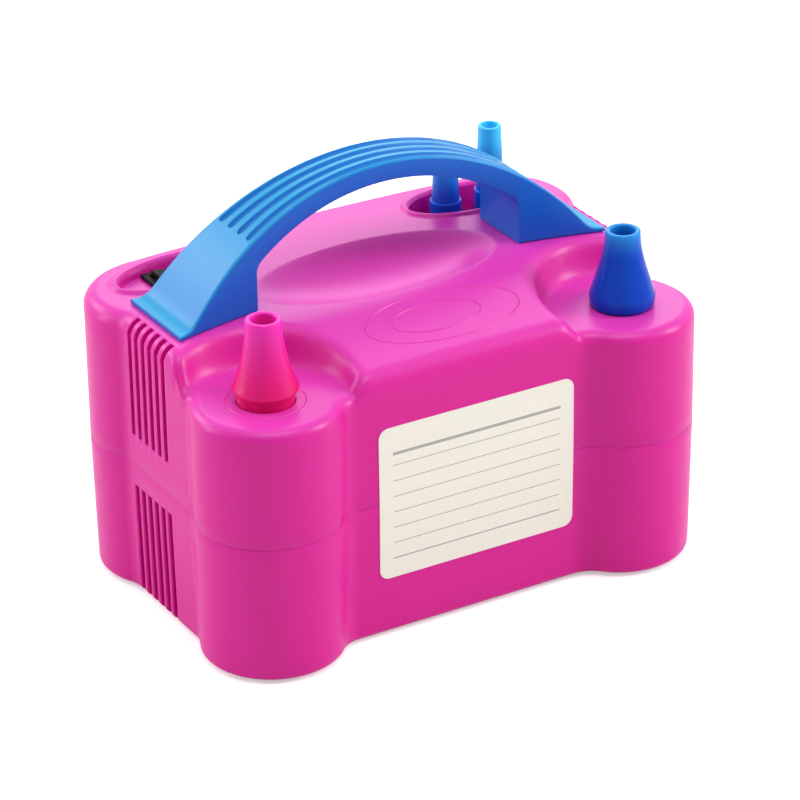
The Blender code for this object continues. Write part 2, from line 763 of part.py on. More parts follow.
def handle_underside(x):
    """Height of the arch's underside between the feet, with a hollow corner at each foot."""
    across = abs(x)
    crown = HANDLE_TOP_Z - HANDLE_THICKNESS

    def span(at):
        return crown - HANDLE_SPAN_RADIUS + math.sqrt(HANDLE_SPAN_RADIUS ** 2 - at ** 2)

    start = HANDLE_FOOT_X - HANDLE_CORNER
    if across <= start:
        return span(across)
    inside = HANDLE_FOOT_X - across
    return span(across) - edge_drop(inside, HANDLE_CORNER)


def handle_half_width(x):
    """The handle narrows from its toes to the middle of the arch."""
    share = (abs(x) / HANDLE_TOE_X) ** HANDLE_TAPER
    return HANDLE_MID_HALF_WIDTH + (HANDLE_TOE_HALF_WIDTH - HANDLE_MID_HALF_WIDTH) * share


def handle_section(x, low):
    """One cross section: flat base, rounded top edges and four grooves."""
    half = handle_half_width(x)
    top = handle_top(x)
    edge = min(HANDLE_EDGE, (top - low) / 2)
    depth = GROOVE_DEPTH * max(0.0, min(1.0, (GROOVE_END_X - abs(x)) / GROOVE_FADE))
    points = [(-half, low), (half, low), (half, top - edge), (half - 0.3 * edge, top - 0.3 * edge),
              (half - edge, top)]
    for line in reversed(GROOVE_LINES):
        for share, drop in ((0.5, 0), (0.25, depth), (-0.25, depth), (-0.5, 0)):
            points.append((line * half + share * GROOVE_WIDTH, top - drop))
    points += [(edge - half, top), (0.3 * edge - half, top - 0.3 * edge), (-half, top - edge)]
    return [(x, HANDLE_Y + y, z) for y, z in points]


def handle(material):
    arch_steps = 10
    leg_steps = 7
    corner = [HANDLE_FOOT_X - HANDLE_CORNER * (1 - math.cos(math.radians(turn))) for turn in (25, 50, 75)]
    start = HANDLE_FOOT_X - HANDLE_CORNER
    arch = [start * k / arch_steps * 2 - start for k in range(arch_steps + 1)]
    stations = []
    for k in range(leg_steps + 1):
        x = HANDLE_FOOT_X + (HANDLE_TOE_X - HANDLE_FOOT_X) * k / leg_steps
        stations.append((x, deck_height(x, HANDLE_Y) + CLEARANCE))
    right = [(x, handle_underside(x)) for x in reversed(corner)]
    right.append((HANDLE_FOOT_X - CLEARANCE, handle_underside(HANDLE_FOOT_X - CLEARANCE)))
    right += stations
    left = [(-x, low) for x, low in reversed(right)]
    middle = [(x, handle_underside(x)) for x in arch]
    grip = place("handle", lofted([handle_section(x, low) for x, low in left + middle + right]), material)
    top = handle_screw_tip() + 2 * CLEARANCE
    cut(grip, rods(handle_screw_places(), SCREW_RADIUS + CLEARANCE, PLATFORM_Z, top))
    return grip


# Nozzles and outlets

def flare(tip, base, low, high, power, steps=7):
    """Points down the outside of a nozzle from its tip to its base."""
    points = []
    for k in range(steps + 1):
        share = k / steps
        points.append((tip + (base - tip) * share ** power, high + (low - high) * share))
    return points


def press_nozzle(material):
    shoulder = PLATFORM_Z + PRESS_SHOULDER_GAP
    tip = shoulder + PRESS_CONE_HEIGHT
    lip = (NOZZLE_TIP_RADIUS - NOZZLE_BORE_RADIUS) / 3
    profile = [(NOZZLE_BORE_RADIUS, SLEEVE_LOW), (NOZZLE_BORE_RADIUS, tip - lip),
               (NOZZLE_BORE_RADIUS + lip, tip), (NOZZLE_TIP_RADIUS - lip, tip)]
    profile += flare(NOZZLE_TIP_RADIUS, PRESS_BASE_RADIUS, shoulder + lip, tip - lip, PRESS_FLARE)
    profile += [(PRESS_BASE_RADIUS - lip / 2, shoulder), (PRESS_NECK_RADIUS, shoulder), (PRESS_NECK_RADIUS, NECK_LOW),
                (SLEEVE_RADIUS, NECK_LOW), (SLEEVE_RADIUS, SLEEVE_LOW)]
    return place("press_nozzle", turned(profile[::-1]), material, (-PORT_X, PORT_Y, 0))


def press_collar(material):
    """Ring under the platform that keeps the nozzle in, with a lug that works the micro switch."""
    low = COLLAR_TOP - COLLAR_HEIGHT
    inner = PRESS_PORT_RADIUS
    outer = inner + COLLAR_WIDTH
    profile = [(inner, low), (outer, low), (outer, COLLAR_TOP), (inner, COLLAR_TOP)]
    collar = place("press_nozzle_collar", turned(profile), material, (-PORT_X, PORT_Y, 0))
    half = COLLAR_LUG_WIDTH / 2
    join(collar, blocks(((-PORT_X + inner + COLLAR_WIDTH / 2, PORT_Y - half, low + CLEARANCE),
                         (-PORT_X + COLLAR_LUG_REACH, PORT_Y + half, COLLAR_TOP - CLEARANCE))))
    return collar


def press_spring(material):
    """A helix between the neck and the outlet tube."""
    sides = 6
    steps = 10
    wire = SPRING_WIRE / 2
    radius = SLEEVE_RADIUS + CLEARANCE + SPRING_WIRE * 0.75
    low = SPRING_LOW + wire
    high = NECK_LOW - CLEARANCE - wire
    rings = []
    for k in range(SPRING_TURNS * steps + 1):
        turn = math.tau * k / steps
        centre = low + (high - low) * k / (SPRING_TURNS * steps)
        loop = []
        for corner in range(sides):
            angle = math.tau * corner / sides
            reach = radius + wire * math.cos(angle)
            loop.append((reach * math.cos(turn), reach * math.sin(turn), centre + wire * math.sin(angle)))
        rings.append(loop)
    return place("press_nozzle_spring", lofted(rings), material, (-PORT_X, PORT_Y, 0))


def outlet_tube(name, side, material, top, spigot):
    """Tube on a fan's spout that guides a nozzle. A spigot runs up through the platform."""
    outer = spigot or TUBE_RADIUS
    profile = [(TUBE_BORE, TUBE_FLANGE_LOW), (outer, TUBE_FLANGE_LOW), (outer, top), (TUBE_BORE, top)]
    tube = place(name, turned(profile), material, (side * PORT_X, PORT_Y, 0))
    half_width = SCROLL_HALF_WIDTH
    half_depth = TUBE_RADIUS
    lug = COLLAR_LUG_REACH + CLEARANCE if side < 0 else half_width
    flange = blocks(((side * PORT_X - half_width, PORT_Y - half_depth, TUBE_FLANGE_LOW),
                     (side * PORT_X + lug, PORT_Y + half_depth, TUBE_FLANGE_HIGH)))
    join(tube, flange)
    cut(tube, rods([(side * PORT_X, PORT_Y)], TUBE_BORE, TUBE_FLANGE_LOW - WALL, top + WALL, ROUND))
    return tube


def removable_nozzle(material):
    low = PLATFORM_Z + CLEARANCE
    tip = low + REMOVABLE_HEIGHT
    lip = (NOZZLE_TIP_RADIUS - NOZZLE_BORE_RADIUS) / 3
    socket_top = PLATFORM_Z + SPIGOT_HEIGHT + CLEARANCE
    socket = SPIGOT_PORT_RADIUS
    bore = NOZZLE_BORE_RADIUS
    profile = [(socket, low), (socket, socket_top), (bore, socket_top + socket - bore),
               (bore, tip - lip), (bore + lip, tip), (NOZZLE_TIP_RADIUS - lip, tip)]
    profile += flare(NOZZLE_TIP_RADIUS, NOZZLE_BASE_RADIUS, low + REMOVABLE_BAND, tip - lip, REMOVABLE_FLARE)
    profile += [(NOZZLE_BASE_RADIUS, low + lip), (NOZZLE_BASE_RADIUS - lip, low)]
    return place("removable_nozzle", turned(profile[::-1]), material, (PORT_X, PORT_Y, 0))


def spare_nozzles(material):
    """Two slim nozzles that stand on pegs in the rear right pocket."""
    low = pocket_floor(1) + CLEARANCE
    collar = low + SPARE_COLLAR_HEIGHT
    bore = PEG_RADIUS + CLEARANCE
    round_off = SPARE_TIP_RADIUS - bore
    lengths = (SPARE_INNER_LENGTH, SPARE_OUTER_LENGTH)
    for name, length, (x, y) in zip(("inner", "outer"), lengths, spare_places()):
        tip = low + length
        profile = [(bore, low), (SPARE_COLLAR_RADIUS, low), (SPARE_COLLAR_RADIUS, collar - CLEARANCE),
                   (SPARE_ROOT_RADIUS, collar), (SPARE_TIP_RADIUS, tip - round_off),
                   (SPARE_TIP_RADIUS - 0.3 * round_off, tip - 0.3 * round_off), (bore, tip)]
        place(f"spare_nozzle_{name}", turned(profile, SMALL_ROUND + 4), material, (x, y, 0))


# Switch

def switch_housing(material):
    floor = pocket_floor(-1)
    top = floor + CLEARANCE + SWITCH_FLANGE_HEIGHT
    half_length = SWITCH_LENGTH / 2
    half_width = SWITCH_WIDTH / 2
    rim = SWITCH_FLANGE
    near = (SWITCH_X - half_length - rim, POCKET_Y - half_width - rim, floor + CLEARANCE)
    far = (SWITCH_X + half_length + rim, POCKET_Y + half_width + rim, top)
    housing = place("switch_housing", blocks((near, far)), material)
    join(housing, blocks(((SWITCH_X - half_length, POCKET_Y - half_width, top - SWITCH_DEPTH),
                          (SWITCH_X + half_length, POCKET_Y + half_width, top - SWITCH_FLANGE_HEIGHT / 2))))
    inner_length = half_length - SWITCH_WALL
    inner_width = half_width - SWITCH_WALL
    cut(housing, blocks(((SWITCH_X - inner_length, POCKET_Y - inner_width, top - SWITCH_DEPTH / 2),
                         (SWITCH_X + inner_length, POCKET_Y + inner_width, top + SWITCH_FLANGE_HEIGHT))))
    return housing


def rocker_pivot():
    """Axis of the rocker, along Y."""
    return (SWITCH_X, POCKET_Y, pocket_floor(-1) + SWITCH_FLANGE_HEIGHT)


def switch_rocker(material):
    """A bar with a dished top whose ends rise and fall by turns."""
    turn = math.radians(ROCKER_TRAVEL_DEG)
    room = SWITCH_LENGTH / 2 - SWITCH_WALL - CLEARANCE
    half_length = (room - ROCKER_RISE * math.sin(turn)) / math.cos(turn)
    half_width = SWITCH_WIDTH / 2 - SWITCH_WALL - CLEARANCE
    foot = SWITCH_DEPTH / 4
    slope = (ROCKER_RISE + ROCKER_DIP) / 2.2
    profile = [(-half_length * 0.55, -foot), (half_length * 0.55, -foot), (half_length, 0),
               (half_length, ROCKER_RISE), (half_length * 0.5, slope), (0, ROCKER_DIP),
               (-half_length * 0.5, slope), (-half_length, ROCKER_RISE), (-half_length, 0)]
    bm = lofted([[(x, y, z) for x, z in profile] for y in (half_width, -half_width)])
    return place("switch_rocker", bm, material, rocker_pivot())


def switch_tabs(material):
    high = pocket_floor(-1) + CLEARANCE + SWITCH_FLANGE_HEIGHT - SWITCH_DEPTH - CLEARANCE
    for name, shift in (("left", -1), ("middle", 0), ("right", 1)):
        x = SWITCH_X + shift * SWITCH_LENGTH * 0.32
        near = (x - TAB_THICKNESS / 2, POCKET_Y - TAB_WIDTH / 2, high - TAB_LENGTH)
        far = (x + TAB_THICKNESS / 2, POCKET_Y + TAB_WIDTH / 2, high)
        place(f"switch_tab_{name}", blocks((near, far)), material)


# Motor

ALONG_X = (0, math.pi / 2, 0)


def rotor_axis():
    """Empty on the shaft's axis that carries everything that spins."""
    axis = bpy.data.objects.new("rotor_axis", None)
    bpy.context.collection.objects.link(axis)
    axis.location = (0, MOTOR_Y, MOTOR_Z)
    return axis


def tube_profile(inner, outer, low, high, bevel=0.0):
    """Outline of a plain ring, with bevelled outer edges."""
    return [(inner, low), (outer - bevel, low), (outer, low + bevel), (outer, high - bevel),
            (outer - bevel, high), (inner, high)]


def rotor(axis, steel, copper, dark, plastic):
    """Shaft, armature, commutator and impellers, all on one axis."""
    tip = PORT_X + IMPELLER_BLADE_HEIGHT / 2
    seat = SHAFT_RADIUS + CLEARANCE
    shaft = [(0, -tip), (SHAFT_RADIUS, -tip), (SHAFT_RADIUS, tip), (0, tip)]
    place("motor_shaft", turned(shaft, SMALL_ROUND), steel, (0, 0, 0), ALONG_X, axis)
    core = tube_profile(seat, CORE_RADIUS, -CORE_HALF_LENGTH, CORE_HALF_LENGTH, CLEARANCE)
    place("armature_core", turned(core), steel, (0, 0, 0), ALONG_X, axis)
    near = CORE_HALF_LENGTH + CLEARANCE
    far = near + WINDING_LENGTH
    for name, side in SIDES:
        half = WINDING_LENGTH / 2
        winding = tube_profile(seat, WINDING_RADIUS, -half, half, WINDING_LENGTH / 3)
        middle = (side * (near + far) / 2, 0, 0)
        place(f"armature_winding_{name}", turned(winding), copper, middle, ALONG_X, axis)
    bars = tube_profile(seat, COMMUTATOR_RADIUS, -COMMUTATOR_LENGTH / 2, COMMUTATOR_LENGTH / 2, CLEARANCE)
    place("commutator", turned(bars), copper, (commutator_x(), 0, 0), ALONG_X, axis)
    for name, side in SIDES:
        impeller(f"impeller_{name}", side, plastic, axis)


def commutator_x():
    """Middle of the commutator, beside the right winding."""
    return CORE_HALF_LENGTH + WINDING_LENGTH + 2 * CLEARANCE + COMMUTATOR_LENGTH / 2


def impeller(name, side, material, axis):
    """A back plate and hub with curved blades that face the motor."""
    half = IMPELLER_BLADE_HEIGHT / 2
    bore = SHAFT_RADIUS + CLEARANCE
    plate = half - IMPELLER_PLATE
    profile = [(bore, -half), (IMPELLER_HUB_RADIUS, -half), (IMPELLER_HUB_RADIUS, plate),
               (IMPELLER_RADIUS, plate), (IMPELLER_RADIUS, half), (bore, half)]
    wheel = place(name, turned(profile, 24), material)
    for k in range(IMPELLER_BLADES):
        turn = math.tau * k / IMPELLER_BLADES
        join(wheel, blade(turn, -half, half - IMPELLER_PLATE / 2))
    wheel.parent = axis
    wheel.location = (side * PORT_X, 0, 0)
    wheel.rotation_euler = (0, side * math.pi / 2, 0)
    return wheel


def blade(turn, low, high):
    """One blade that leans back as it runs from hub to rim."""
    steps = 4
    start = IMPELLER_HUB_RADIUS * 1.25
    end = IMPELLER_RADIUS * 0.97
    faces = []
    for shift in (-BLADE_THICKNESS / 2, BLADE_THICKNESS / 2):
        line = []
        for k in range(steps + 1):
            radius = start + (end - start) * k / steps
            angle = turn + math.radians(35) * k / steps + shift / radius
            line.append((radius * math.cos(angle), radius * math.sin(angle)))
        faces.append(line)
    return prism(faces[0] + faces[1][::-1], low, high)


def turned_sector(inner, outer, start, end, low, high, steps=8):
    """Part of a ring round the shaft, given by angles in degrees from +Y towards +Z."""
    centre = (MOTOR_Y, MOTOR_Z)
    outline = arc(centre, outer, math.radians(start), math.radians(end), steps)
    outline += arc(centre, inner, math.radians(end), math.radians(start), steps)
    return prism_along_x(outline, low, high)


def field(steel, copper):
    """Laminated stack with two poles, and a coil round each pole."""
    half = FIELD_HALF_SIZE
    outline = rounded_rectangle((MOTOR_Y - half, MOTOR_Z - half), (MOTOR_Y + half, MOTOR_Z + half), half / 4)
    stack = place("field_stack", prism_along_x(outline, -FIELD_HALF_LENGTH, FIELD_HALF_LENGTH), steel)
    pole = CORE_RADIUS + RUNNING_GAP
    slot = pole + COIL_THICKNESS + 2 * CLEARANCE
    window = math.radians(COIL_WINDOW_DEG)
    centre = (MOTOR_Y, MOTOR_Z)
    hole = arc(centre, slot, -window, window, 4)
    hole += arc(centre, pole, window, math.pi - window, 8)
    hole += arc(centre, slot, math.pi - window, math.pi + window, 4)
    hole += arc(centre, pole, math.pi + window, math.tau - window, 8)
    cut(stack, prism_along_x(hole, -2 * FIELD_HALF_LENGTH, 2 * FIELD_HALF_LENGTH))
    inner = pole + CLEARANCE
    outer = inner + COIL_THICKNESS
    reach = FIELD_HALF_LENGTH + COIL_OVERHANG
    inset = math.degrees(CLEARANCE / inner)
    edge = COIL_WINDOW_DEG - 2 * inset
    for name, turn in (("upper", 0), ("lower", 180)):
        ends = (turn + 2 * inset, turn + 180 - 2 * inset)
        coil = place(f"field_coil_{name}", turned_sector(inner, outer, *ends, -reach, reach), copper)
        gap = FIELD_HALF_LENGTH + CLEARANCE
        cut(coil, turned_sector(inner - WALL, outer + WALL, turn + edge, turn + 180 - edge, -gap, gap))


def bracket(name, side, material):
    """End plate with a bearing boss and four legs that reach the stack."""
    half = FIELD_HALF_SIZE
    near = FIELD_HALF_LENGTH + CLEARANCE
    far = BRACKET_X + BRACKET_THICKNESS
    outline = rounded_rectangle((MOTOR_Y - half, MOTOR_Z - half), (MOTOR_Y + half, MOTOR_Z + half), half / 4)
    plate = place(name, prism_along_x(outline, *sorted((side * BRACKET_X, side * far))), material)
    leg = BRACKET_LEG
    boxes = []
    for up in (-1, 1):
        for out in (-1, 1):
            y = MOTOR_Y + out * (half - leg / 2 - CLEARANCE)
            z = MOTOR_Z + up * (half - leg / 2 - CLEARANCE)
            boxes.append(((side * near, y - leg / 2, z - leg / 2),
                          (side * (BRACKET_X + BRACKET_THICKNESS / 2), y + leg / 2, z + leg / 2)))
    join(plate, blocks(*boxes))
    boss_radius = BEARING_RADIUS + BEARING_WALL
    boss_top = BEARING_LENGTH + BRACKET_THICKNESS
    boss = turned([(0, 0), (boss_radius, 0), (boss_radius, boss_top), (0, boss_top)])
    to_axis = Matrix.Translation((side * BRACKET_X, MOTOR_Y, MOTOR_Z))
    to_axis = to_axis @ Matrix.Rotation(side * math.pi / 2, 4, "Y")
    boss.transform(to_axis @ Matrix.Translation((0, 0, BRACKET_THICKNESS / 2)))
    join(plate, boss)
    seat = turned([(0, BRACKET_THICKNESS), (BEARING_RADIUS + CLEARANCE, BRACKET_THICKNESS),
                   (BEARING_RADIUS + CLEARANCE, BEARING_LENGTH * 4), (0, BEARING_LENGTH * 4)])
    seat.transform(to_axis)
    cut(plate, seat)
    passage = turned([(0, -WALL), (SHAFT_RADIUS + 2 * RUNNING_GAP, -WALL),
                      (SHAFT_RADIUS + 2 * RUNNING_GAP, BEARING_LENGTH), (0, BEARING_LENGTH)], SMALL_ROUND)
    passage.transform(to_axis)
    cut(plate, passage)
    windows = []
    for out in (-1, 1):
        low = BEARING_RADIUS + BEARING_WALL + CLEARANCE
        high = half - leg - 2 * CLEARANCE
        if high > low:
            windows.append(sorted((MOTOR_Y + out * low, MOTOR_Y + out * high)))
    boxes = [((side * (BRACKET_X - WALL), a, MOTOR_Z - half / 2),
              (side * (far + WALL), b, MOTOR_Z + half / 2)) for a, b in windows]
    if boxes:
        cut(plate, blocks(*boxes))
    return plate


def bearings(material):
    low = BRACKET_THICKNESS + CLEARANCE
    profile = tube_profile(SHAFT_RADIUS + CLEARANCE, BEARING_RADIUS, low, low + BEARING_LENGTH, CLEARANCE)
    for name, side in SIDES:
        place(f"shaft_bearing_{name}", turned(profile), material, (side * BRACKET_X, MOTOR_Y, MOTOR_Z),
              (0, side * math.pi / 2, 0))


def brushes(plastic, carbon):
    """Two brush holders on the right bracket, each with a carbon brush against the commutator."""
    x = commutator_x()
    near = COMMUTATOR_RADIUS + CLEARANCE
    half = BRUSH_SIZE / 2
    room = half + CLEARANCE
    wall = BRUSH_HOLDER_WALL
    for name, out in (("front", -1), ("rear", 1)):
        tip = MOTOR_Y + out * near
        end = MOTOR_Y + out * (near + BRUSH_LENGTH)
        brush = blocks(((x - half, tip, MOTOR_Z - half), (x + half, end, MOTOR_Z + half)))
        place(f"carbon_brush_{name}", brush, carbon)
        mouth = MOTOR_Y + out * (near + BRUSH_LENGTH * 0.25)
        back = end + out * (wall + CLEARANCE)
        box = (room + wall, BRACKET_X - CLEARANCE - x)
        holder = place(f"brush_holder_{name}", blocks(((x - box[0], mouth, MOTOR_Z - room - wall),
                                                       (x + box[1], back, MOTOR_Z + room + wall))), plastic)
        cut(holder, blocks(((x - room, mouth - out * wall, MOTOR_Z - room),
                            (x + room, end + out * CLEARANCE, MOTOR_Z + room))))


def cradles(material):
    """Rubber saddles between the floor and the motor brackets."""
    floor = FOOT_HEIGHT + FLOOR + CLEARANCE
    top = MOTOR_Z - FIELD_HALF_SIZE - CLEARANCE
    for name, side in SIDES:
        x = side * (BRACKET_X + BRACKET_THICKNESS / 2)
        low = (x - CRADLE_LENGTH / 2, MOTOR_Y - CRADLE_WIDTH / 2, floor)
        high = (x + CRADLE_LENGTH / 2, MOTOR_Y + CRADLE_WIDTH / 2, top)
        place(f"motor_cradle_{name}", blocks((low, high)), material)


# Fans

def scroll_outline(grow):
    """Outline of the spiral air passage with its spout going up, grown outwards by a wall."""
    steps = 18
    points = []
    for k in range(steps + 1):
        share = k / steps
        angle = math.radians(150 - 330 * share)
        radius = SCROLL_START_RADIUS + (SCROLL_END_RADIUS - SCROLL_START_RADIUS) * share + grow
        points.append((MOTOR_Y + radius * math.cos(angle), MOTOR_Z + radius * math.sin(angle)))
    outer = MOTOR_Y - SCROLL_END_RADIUS - grow
    inner = MOTOR_Y - SCROLL_START_RADIUS + grow
    top = SPOUT_TOP_Z if grow else SPOUT_TOP_Z + WALL
    return points + [(outer, top), (inner, top)]


def fan(side, name, plastic, cover_material):
    """Scroll housing with a closed outer side, and the cover with the air inlet on the motor's side."""
    far = side * (PORT_X + SCROLL_HALF_WIDTH)
    near = side * (PORT_X - SCROLL_HALF_WIDTH)
    joint = near + side * (SCROLL_WALL + CLEARANCE)
    outline = scroll_outline(SCROLL_WALL)
    scroll = place(f"fan_scroll_{name}", prism_along_x(outline, *sorted((joint, far))), plastic)
    cut(scroll, prism_along_x(scroll_outline(0), *sorted((near - side * WALL, far - side * SCROLL_WALL))))
    plate = prism_along_x(outline, *sorted((near, near + side * SCROLL_WALL)))
    cover = place(f"fan_cover_{name}", plate, cover_material)
    inlet = turned([(0, -WALL), (FAN_INLET_RADIUS, -WALL), (FAN_INLET_RADIUS, WALL + SCROLL_WALL),
                    (0, WALL + SCROLL_WALL)])
    to_axis = Matrix.Translation((near, MOTOR_Y, MOTOR_Z))
    inlet.transform(to_axis @ Matrix.Rotation(side * math.pi / 2, 4, "Y"))
    cut(cover, inlet)


# Electrical pieces

def micro_switch(material, button):
    """Small switch on the left outlet tube, worked by the collar's lug."""
    x = -PORT_X + COLLAR_LUG_REACH - MICRO_SWITCH_LENGTH / 2
    low = TUBE_FLANGE_HIGH + CLEARANCE
    high = low + MICRO_SWITCH_HEIGHT
    half_length = MICRO_SWITCH_LENGTH / 2
    half_width = MICRO_SWITCH_WIDTH / 2
    body = place("micro_switch", blocks(((x - half_length, PORT_Y - half_width, low),
                                         (x + half_length, PORT_Y + half_width, high))), material)
    room = PLUNGER_SIZE / 2 + CLEARANCE
    lug = COLLAR_TOP - COLLAR_HEIGHT + CLEARANCE
    depth = PRESS_TRAVEL + 2 * CLEARANCE
    cut(body, blocks(((x - room, PORT_Y - room, high - depth - PLUNGER_SIZE),
                      (x + room, PORT_Y + room, high + WALL))))
    half = PLUNGER_SIZE / 2
    place("micro_switch_plunger", blocks(((x - half, PORT_Y - half, high - PLUNGER_SIZE),
                                          (x + half, PORT_Y + half, lug - CLEARANCE))), button)


def capacitor(material):
    """Suppression capacitor standing on the floor by the rear panel."""
    floor = FOOT_HEIGHT + FLOOR + CLEARANCE
    back = REAR_PANEL_Y - WALL - BASE_DRAFT - CLEARANCE
    low = (CAPACITOR_X, back - CAPACITOR_WIDTH, floor)
    high = (CAPACITOR_X + CAPACITOR_LENGTH, back, floor + CAPACITOR_HEIGHT)
    bm = blocks((low, high))
    bmesh.ops.bevel(bm, geom=bm.edges, offset=CLEARANCE * 4, segments=1, affect="EDGES")
    return place("suppression_capacitor", bm, material)


def cord_gland(material):
    """Bushing in the rear panel where the supply comes in."""
    inside = -WALL - BASE_DRAFT - CLEARANCE
    seat = CLEARANCE - GLAND_SEAT
    profile = [(GLAND_BORE_RADIUS, inside - GLAND_FLANGE), (GLAND_RADIUS, inside - GLAND_FLANGE),
               (GLAND_RADIUS, inside), (GLAND_NECK_RADIUS, inside), (GLAND_NECK_RADIUS, seat),
               (GLAND_RADIUS, seat), (GLAND_RADIUS, seat / 2), (GLAND_RADIUS + seat / 2, -CLEARANCE),
               (GLAND_BORE_RADIUS, -CLEARANCE)]
    return place("cord_gland", turned(profile, SMALL_ROUND + 4), material,
                 (GLAND_X, REAR_PANEL_Y, GLAND_Z), (-math.pi / 2, 0, 0))


def lead(name, points, material):
    """A wire along a smooth curve through a few places."""
    curve = bpy.data.curves.new(name, "CURVE")
    curve.dimensions = "3D"
    curve.bevel_depth = LEAD_RADIUS
    curve.bevel_resolution = 1
    curve.use_fill_caps = True
    smooth_points = through(points)
    spline = curve.splines.new("POLY")
    spline.points.add(len(smooth_points) - 1)
    for target, point in zip(spline.points, smooth_points):
        target.co = (*point, 1.0)
    obj = bpy.data.objects.new(name, curve)
    bpy.context.collection.objects.link(obj)
    curve.materials.append(material)
    return obj


def through(points, steps=4):
    """Points of a smooth curve that passes through the given ones."""
    line = [Vector(point) for point in points]
    padded = [2 * line[0] - line[1]] + line + [2 * line[-1] - line[-2]]
    result = []
    for a, b, c, d in zip(padded, padded[1:], padded[2:], padded[3:]):
        for k in range(steps):
            t = k / steps
            result.append(0.5 * (2 * b + (c - a) * t + (2 * a - 5 * b + 4 * c - d) * t ** 2
                                 + (3 * b - a - 3 * c + d) * t ** 3))
    return result + [line[-1]]


def leads(supply, motor):
    """The supply wire from gland to switch, and the wire from the switch to the rear brush holder."""
    tab_low = pocket_floor(-1) + SWITCH_FLANGE_HEIGHT - SWITCH_DEPTH - TAB_LENGTH - CLEARANCE
    bend = 6 * LEAD_RADIUS
    gland_y = REAR_PANEL_Y - WALL - BASE_DRAFT - GLAND_FLANGE - 3 * CLEARANCE
    clear_y = REAR_PANEL_Y - POST_INSET - POST_RADIUS - 3 * LEAD_RADIUS
    spread_x = SWITCH_LENGTH * 0.32
    end = (SWITCH_X - spread_x, POCKET_Y, tab_low - CLEARANCE)
    lead("supply_lead", [(GLAND_X, gland_y, GLAND_Z),
                         (GLAND_X - LEAD_RADIUS, gland_y - bend, GLAND_Z),
                         (-REAR_POST_X - POST_RADIUS, clear_y, GLAND_Z + bend),
                         (end[0] + bend, clear_y, (GLAND_Z + tab_low) / 2),
                         (end[0], POCKET_Y, tab_low - bend),
                         end], supply)
    holder_y = MOTOR_Y + COMMUTATOR_RADIUS + BRUSH_LENGTH + BRUSH_HOLDER_WALL + 3 * CLEARANCE
    start = (SWITCH_X + spread_x, POCKET_Y, tab_low - CLEARANCE)
    middle_y = (clear_y + holder_y) / 2
    lead("motor_lead", [start,
                        (start[0], POCKET_Y, tab_low - bend),
                        (-REAR_POST_X, clear_y, (tab_low + MOTOR_Z) / 2),
                        (0.0, middle_y, MOTOR_Z + bend),
                        (commutator_x(), holder_y + bend, MOTOR_Z),
                        (commutator_x(), holder_y + LEAD_RADIUS, MOTOR_Z),
                        (commutator_x(), holder_y, MOTOR_Z)], motor)


def build():
    for obj in list(bpy.data.objects):
        bpy.data.objects.remove(obj)
    magenta = finish("magenta_plastic", (0.82, 0.03, 0.42), 0.32)
    pink = finish("pink_plastic", (0.85, 0.03, 0.40), 0.3)
    blue = finish("blue_plastic", (0.02, 0.16, 0.75), 0.3)
    black = finish("black_plastic", (0.012, 0.012, 0.015), 0.35)
    white = finish("label_film", (0.88, 0.87, 0.82), 0.5)
    rubber = finish("foot_rubber", (0.03, 0.03, 0.03), 0.8)
    zinc = finish("zinc_steel", (0.6, 0.6, 0.58), 0.35, 1.0)
    steel = finish("lamination_steel", (0.35, 0.36, 0.38), 0.4, 1.0)
    copper = finish("winding_copper", (0.72, 0.33, 0.14), 0.35, 1.0)
    alloy = finish("bracket_alloy", (0.62, 0.63, 0.64), 0.45, 1.0)
    carbon = finish("brush_carbon", (0.05, 0.05, 0.05), 0.6)
    grey = finish("fan_plastic", (0.55, 0.55, 0.53), 0.45)
    brass = finish("tab_brass", (0.75, 0.55, 0.25), 0.35, 1.0)
    yellow = finish("capacitor_case", (0.8, 0.6, 0.08), 0.4)
    wire = finish("lead_cover", (0.25, 0.12, 0.06), 0.5)

    lower_shell(magenta)
    upper_shell(magenta)
    handle(blue)
    label(white)
    feet(rubber)
    case_screws(zinc)
    handle_screws(zinc)

    press_nozzle(pink)
    press_collar(black)
    press_spring(steel)
    outlet_tube("outlet_tube_left", -1, grey, SPRING_LOW - CLEARANCE, 0)
    outlet_tube("outlet_tube_right", 1, magenta, PLATFORM_Z + SPIGOT_HEIGHT, SPIGOT_RADIUS)
    removable_nozzle(blue)
    spare_nozzles(blue)

    switch_housing(black)
    switch_rocker(black)
    switch_tabs(brass)

    rotor(rotor_axis(), steel, copper, carbon, grey)
    field(steel, copper)
    for name, side in SIDES:
        bracket(f"motor_bracket_{name}", side, alloy)
        fan(side, name, grey, grey)
    bearings(steel)
    brushes(black, carbon)
    cradles(rubber)

    micro_switch(black, grey)
    capacitor(yellow)
    cord_gland(black)
    leads(wire, wire)


build()
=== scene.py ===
# %% [markdown]
# # Two-nozzle balloon inflator
# The object is a small air blower for balloons: a satin magenta case with a round lobe at each corner, a
# blue arched handle, a pink press nozzle, a blue removable nozzle and two slim spare nozzles. The packed
# CAD model is loaded first and never moved. Each finer piece is made in the same metres, and rides on a CAD
# body.

# %% Load the frame
import json
import math
from contextlib import contextmanager

import bmesh
import bpy
import numpy as np
from mathutils import Matrix, Vector
from mathutils.geometry import delaunay_2d_cdt


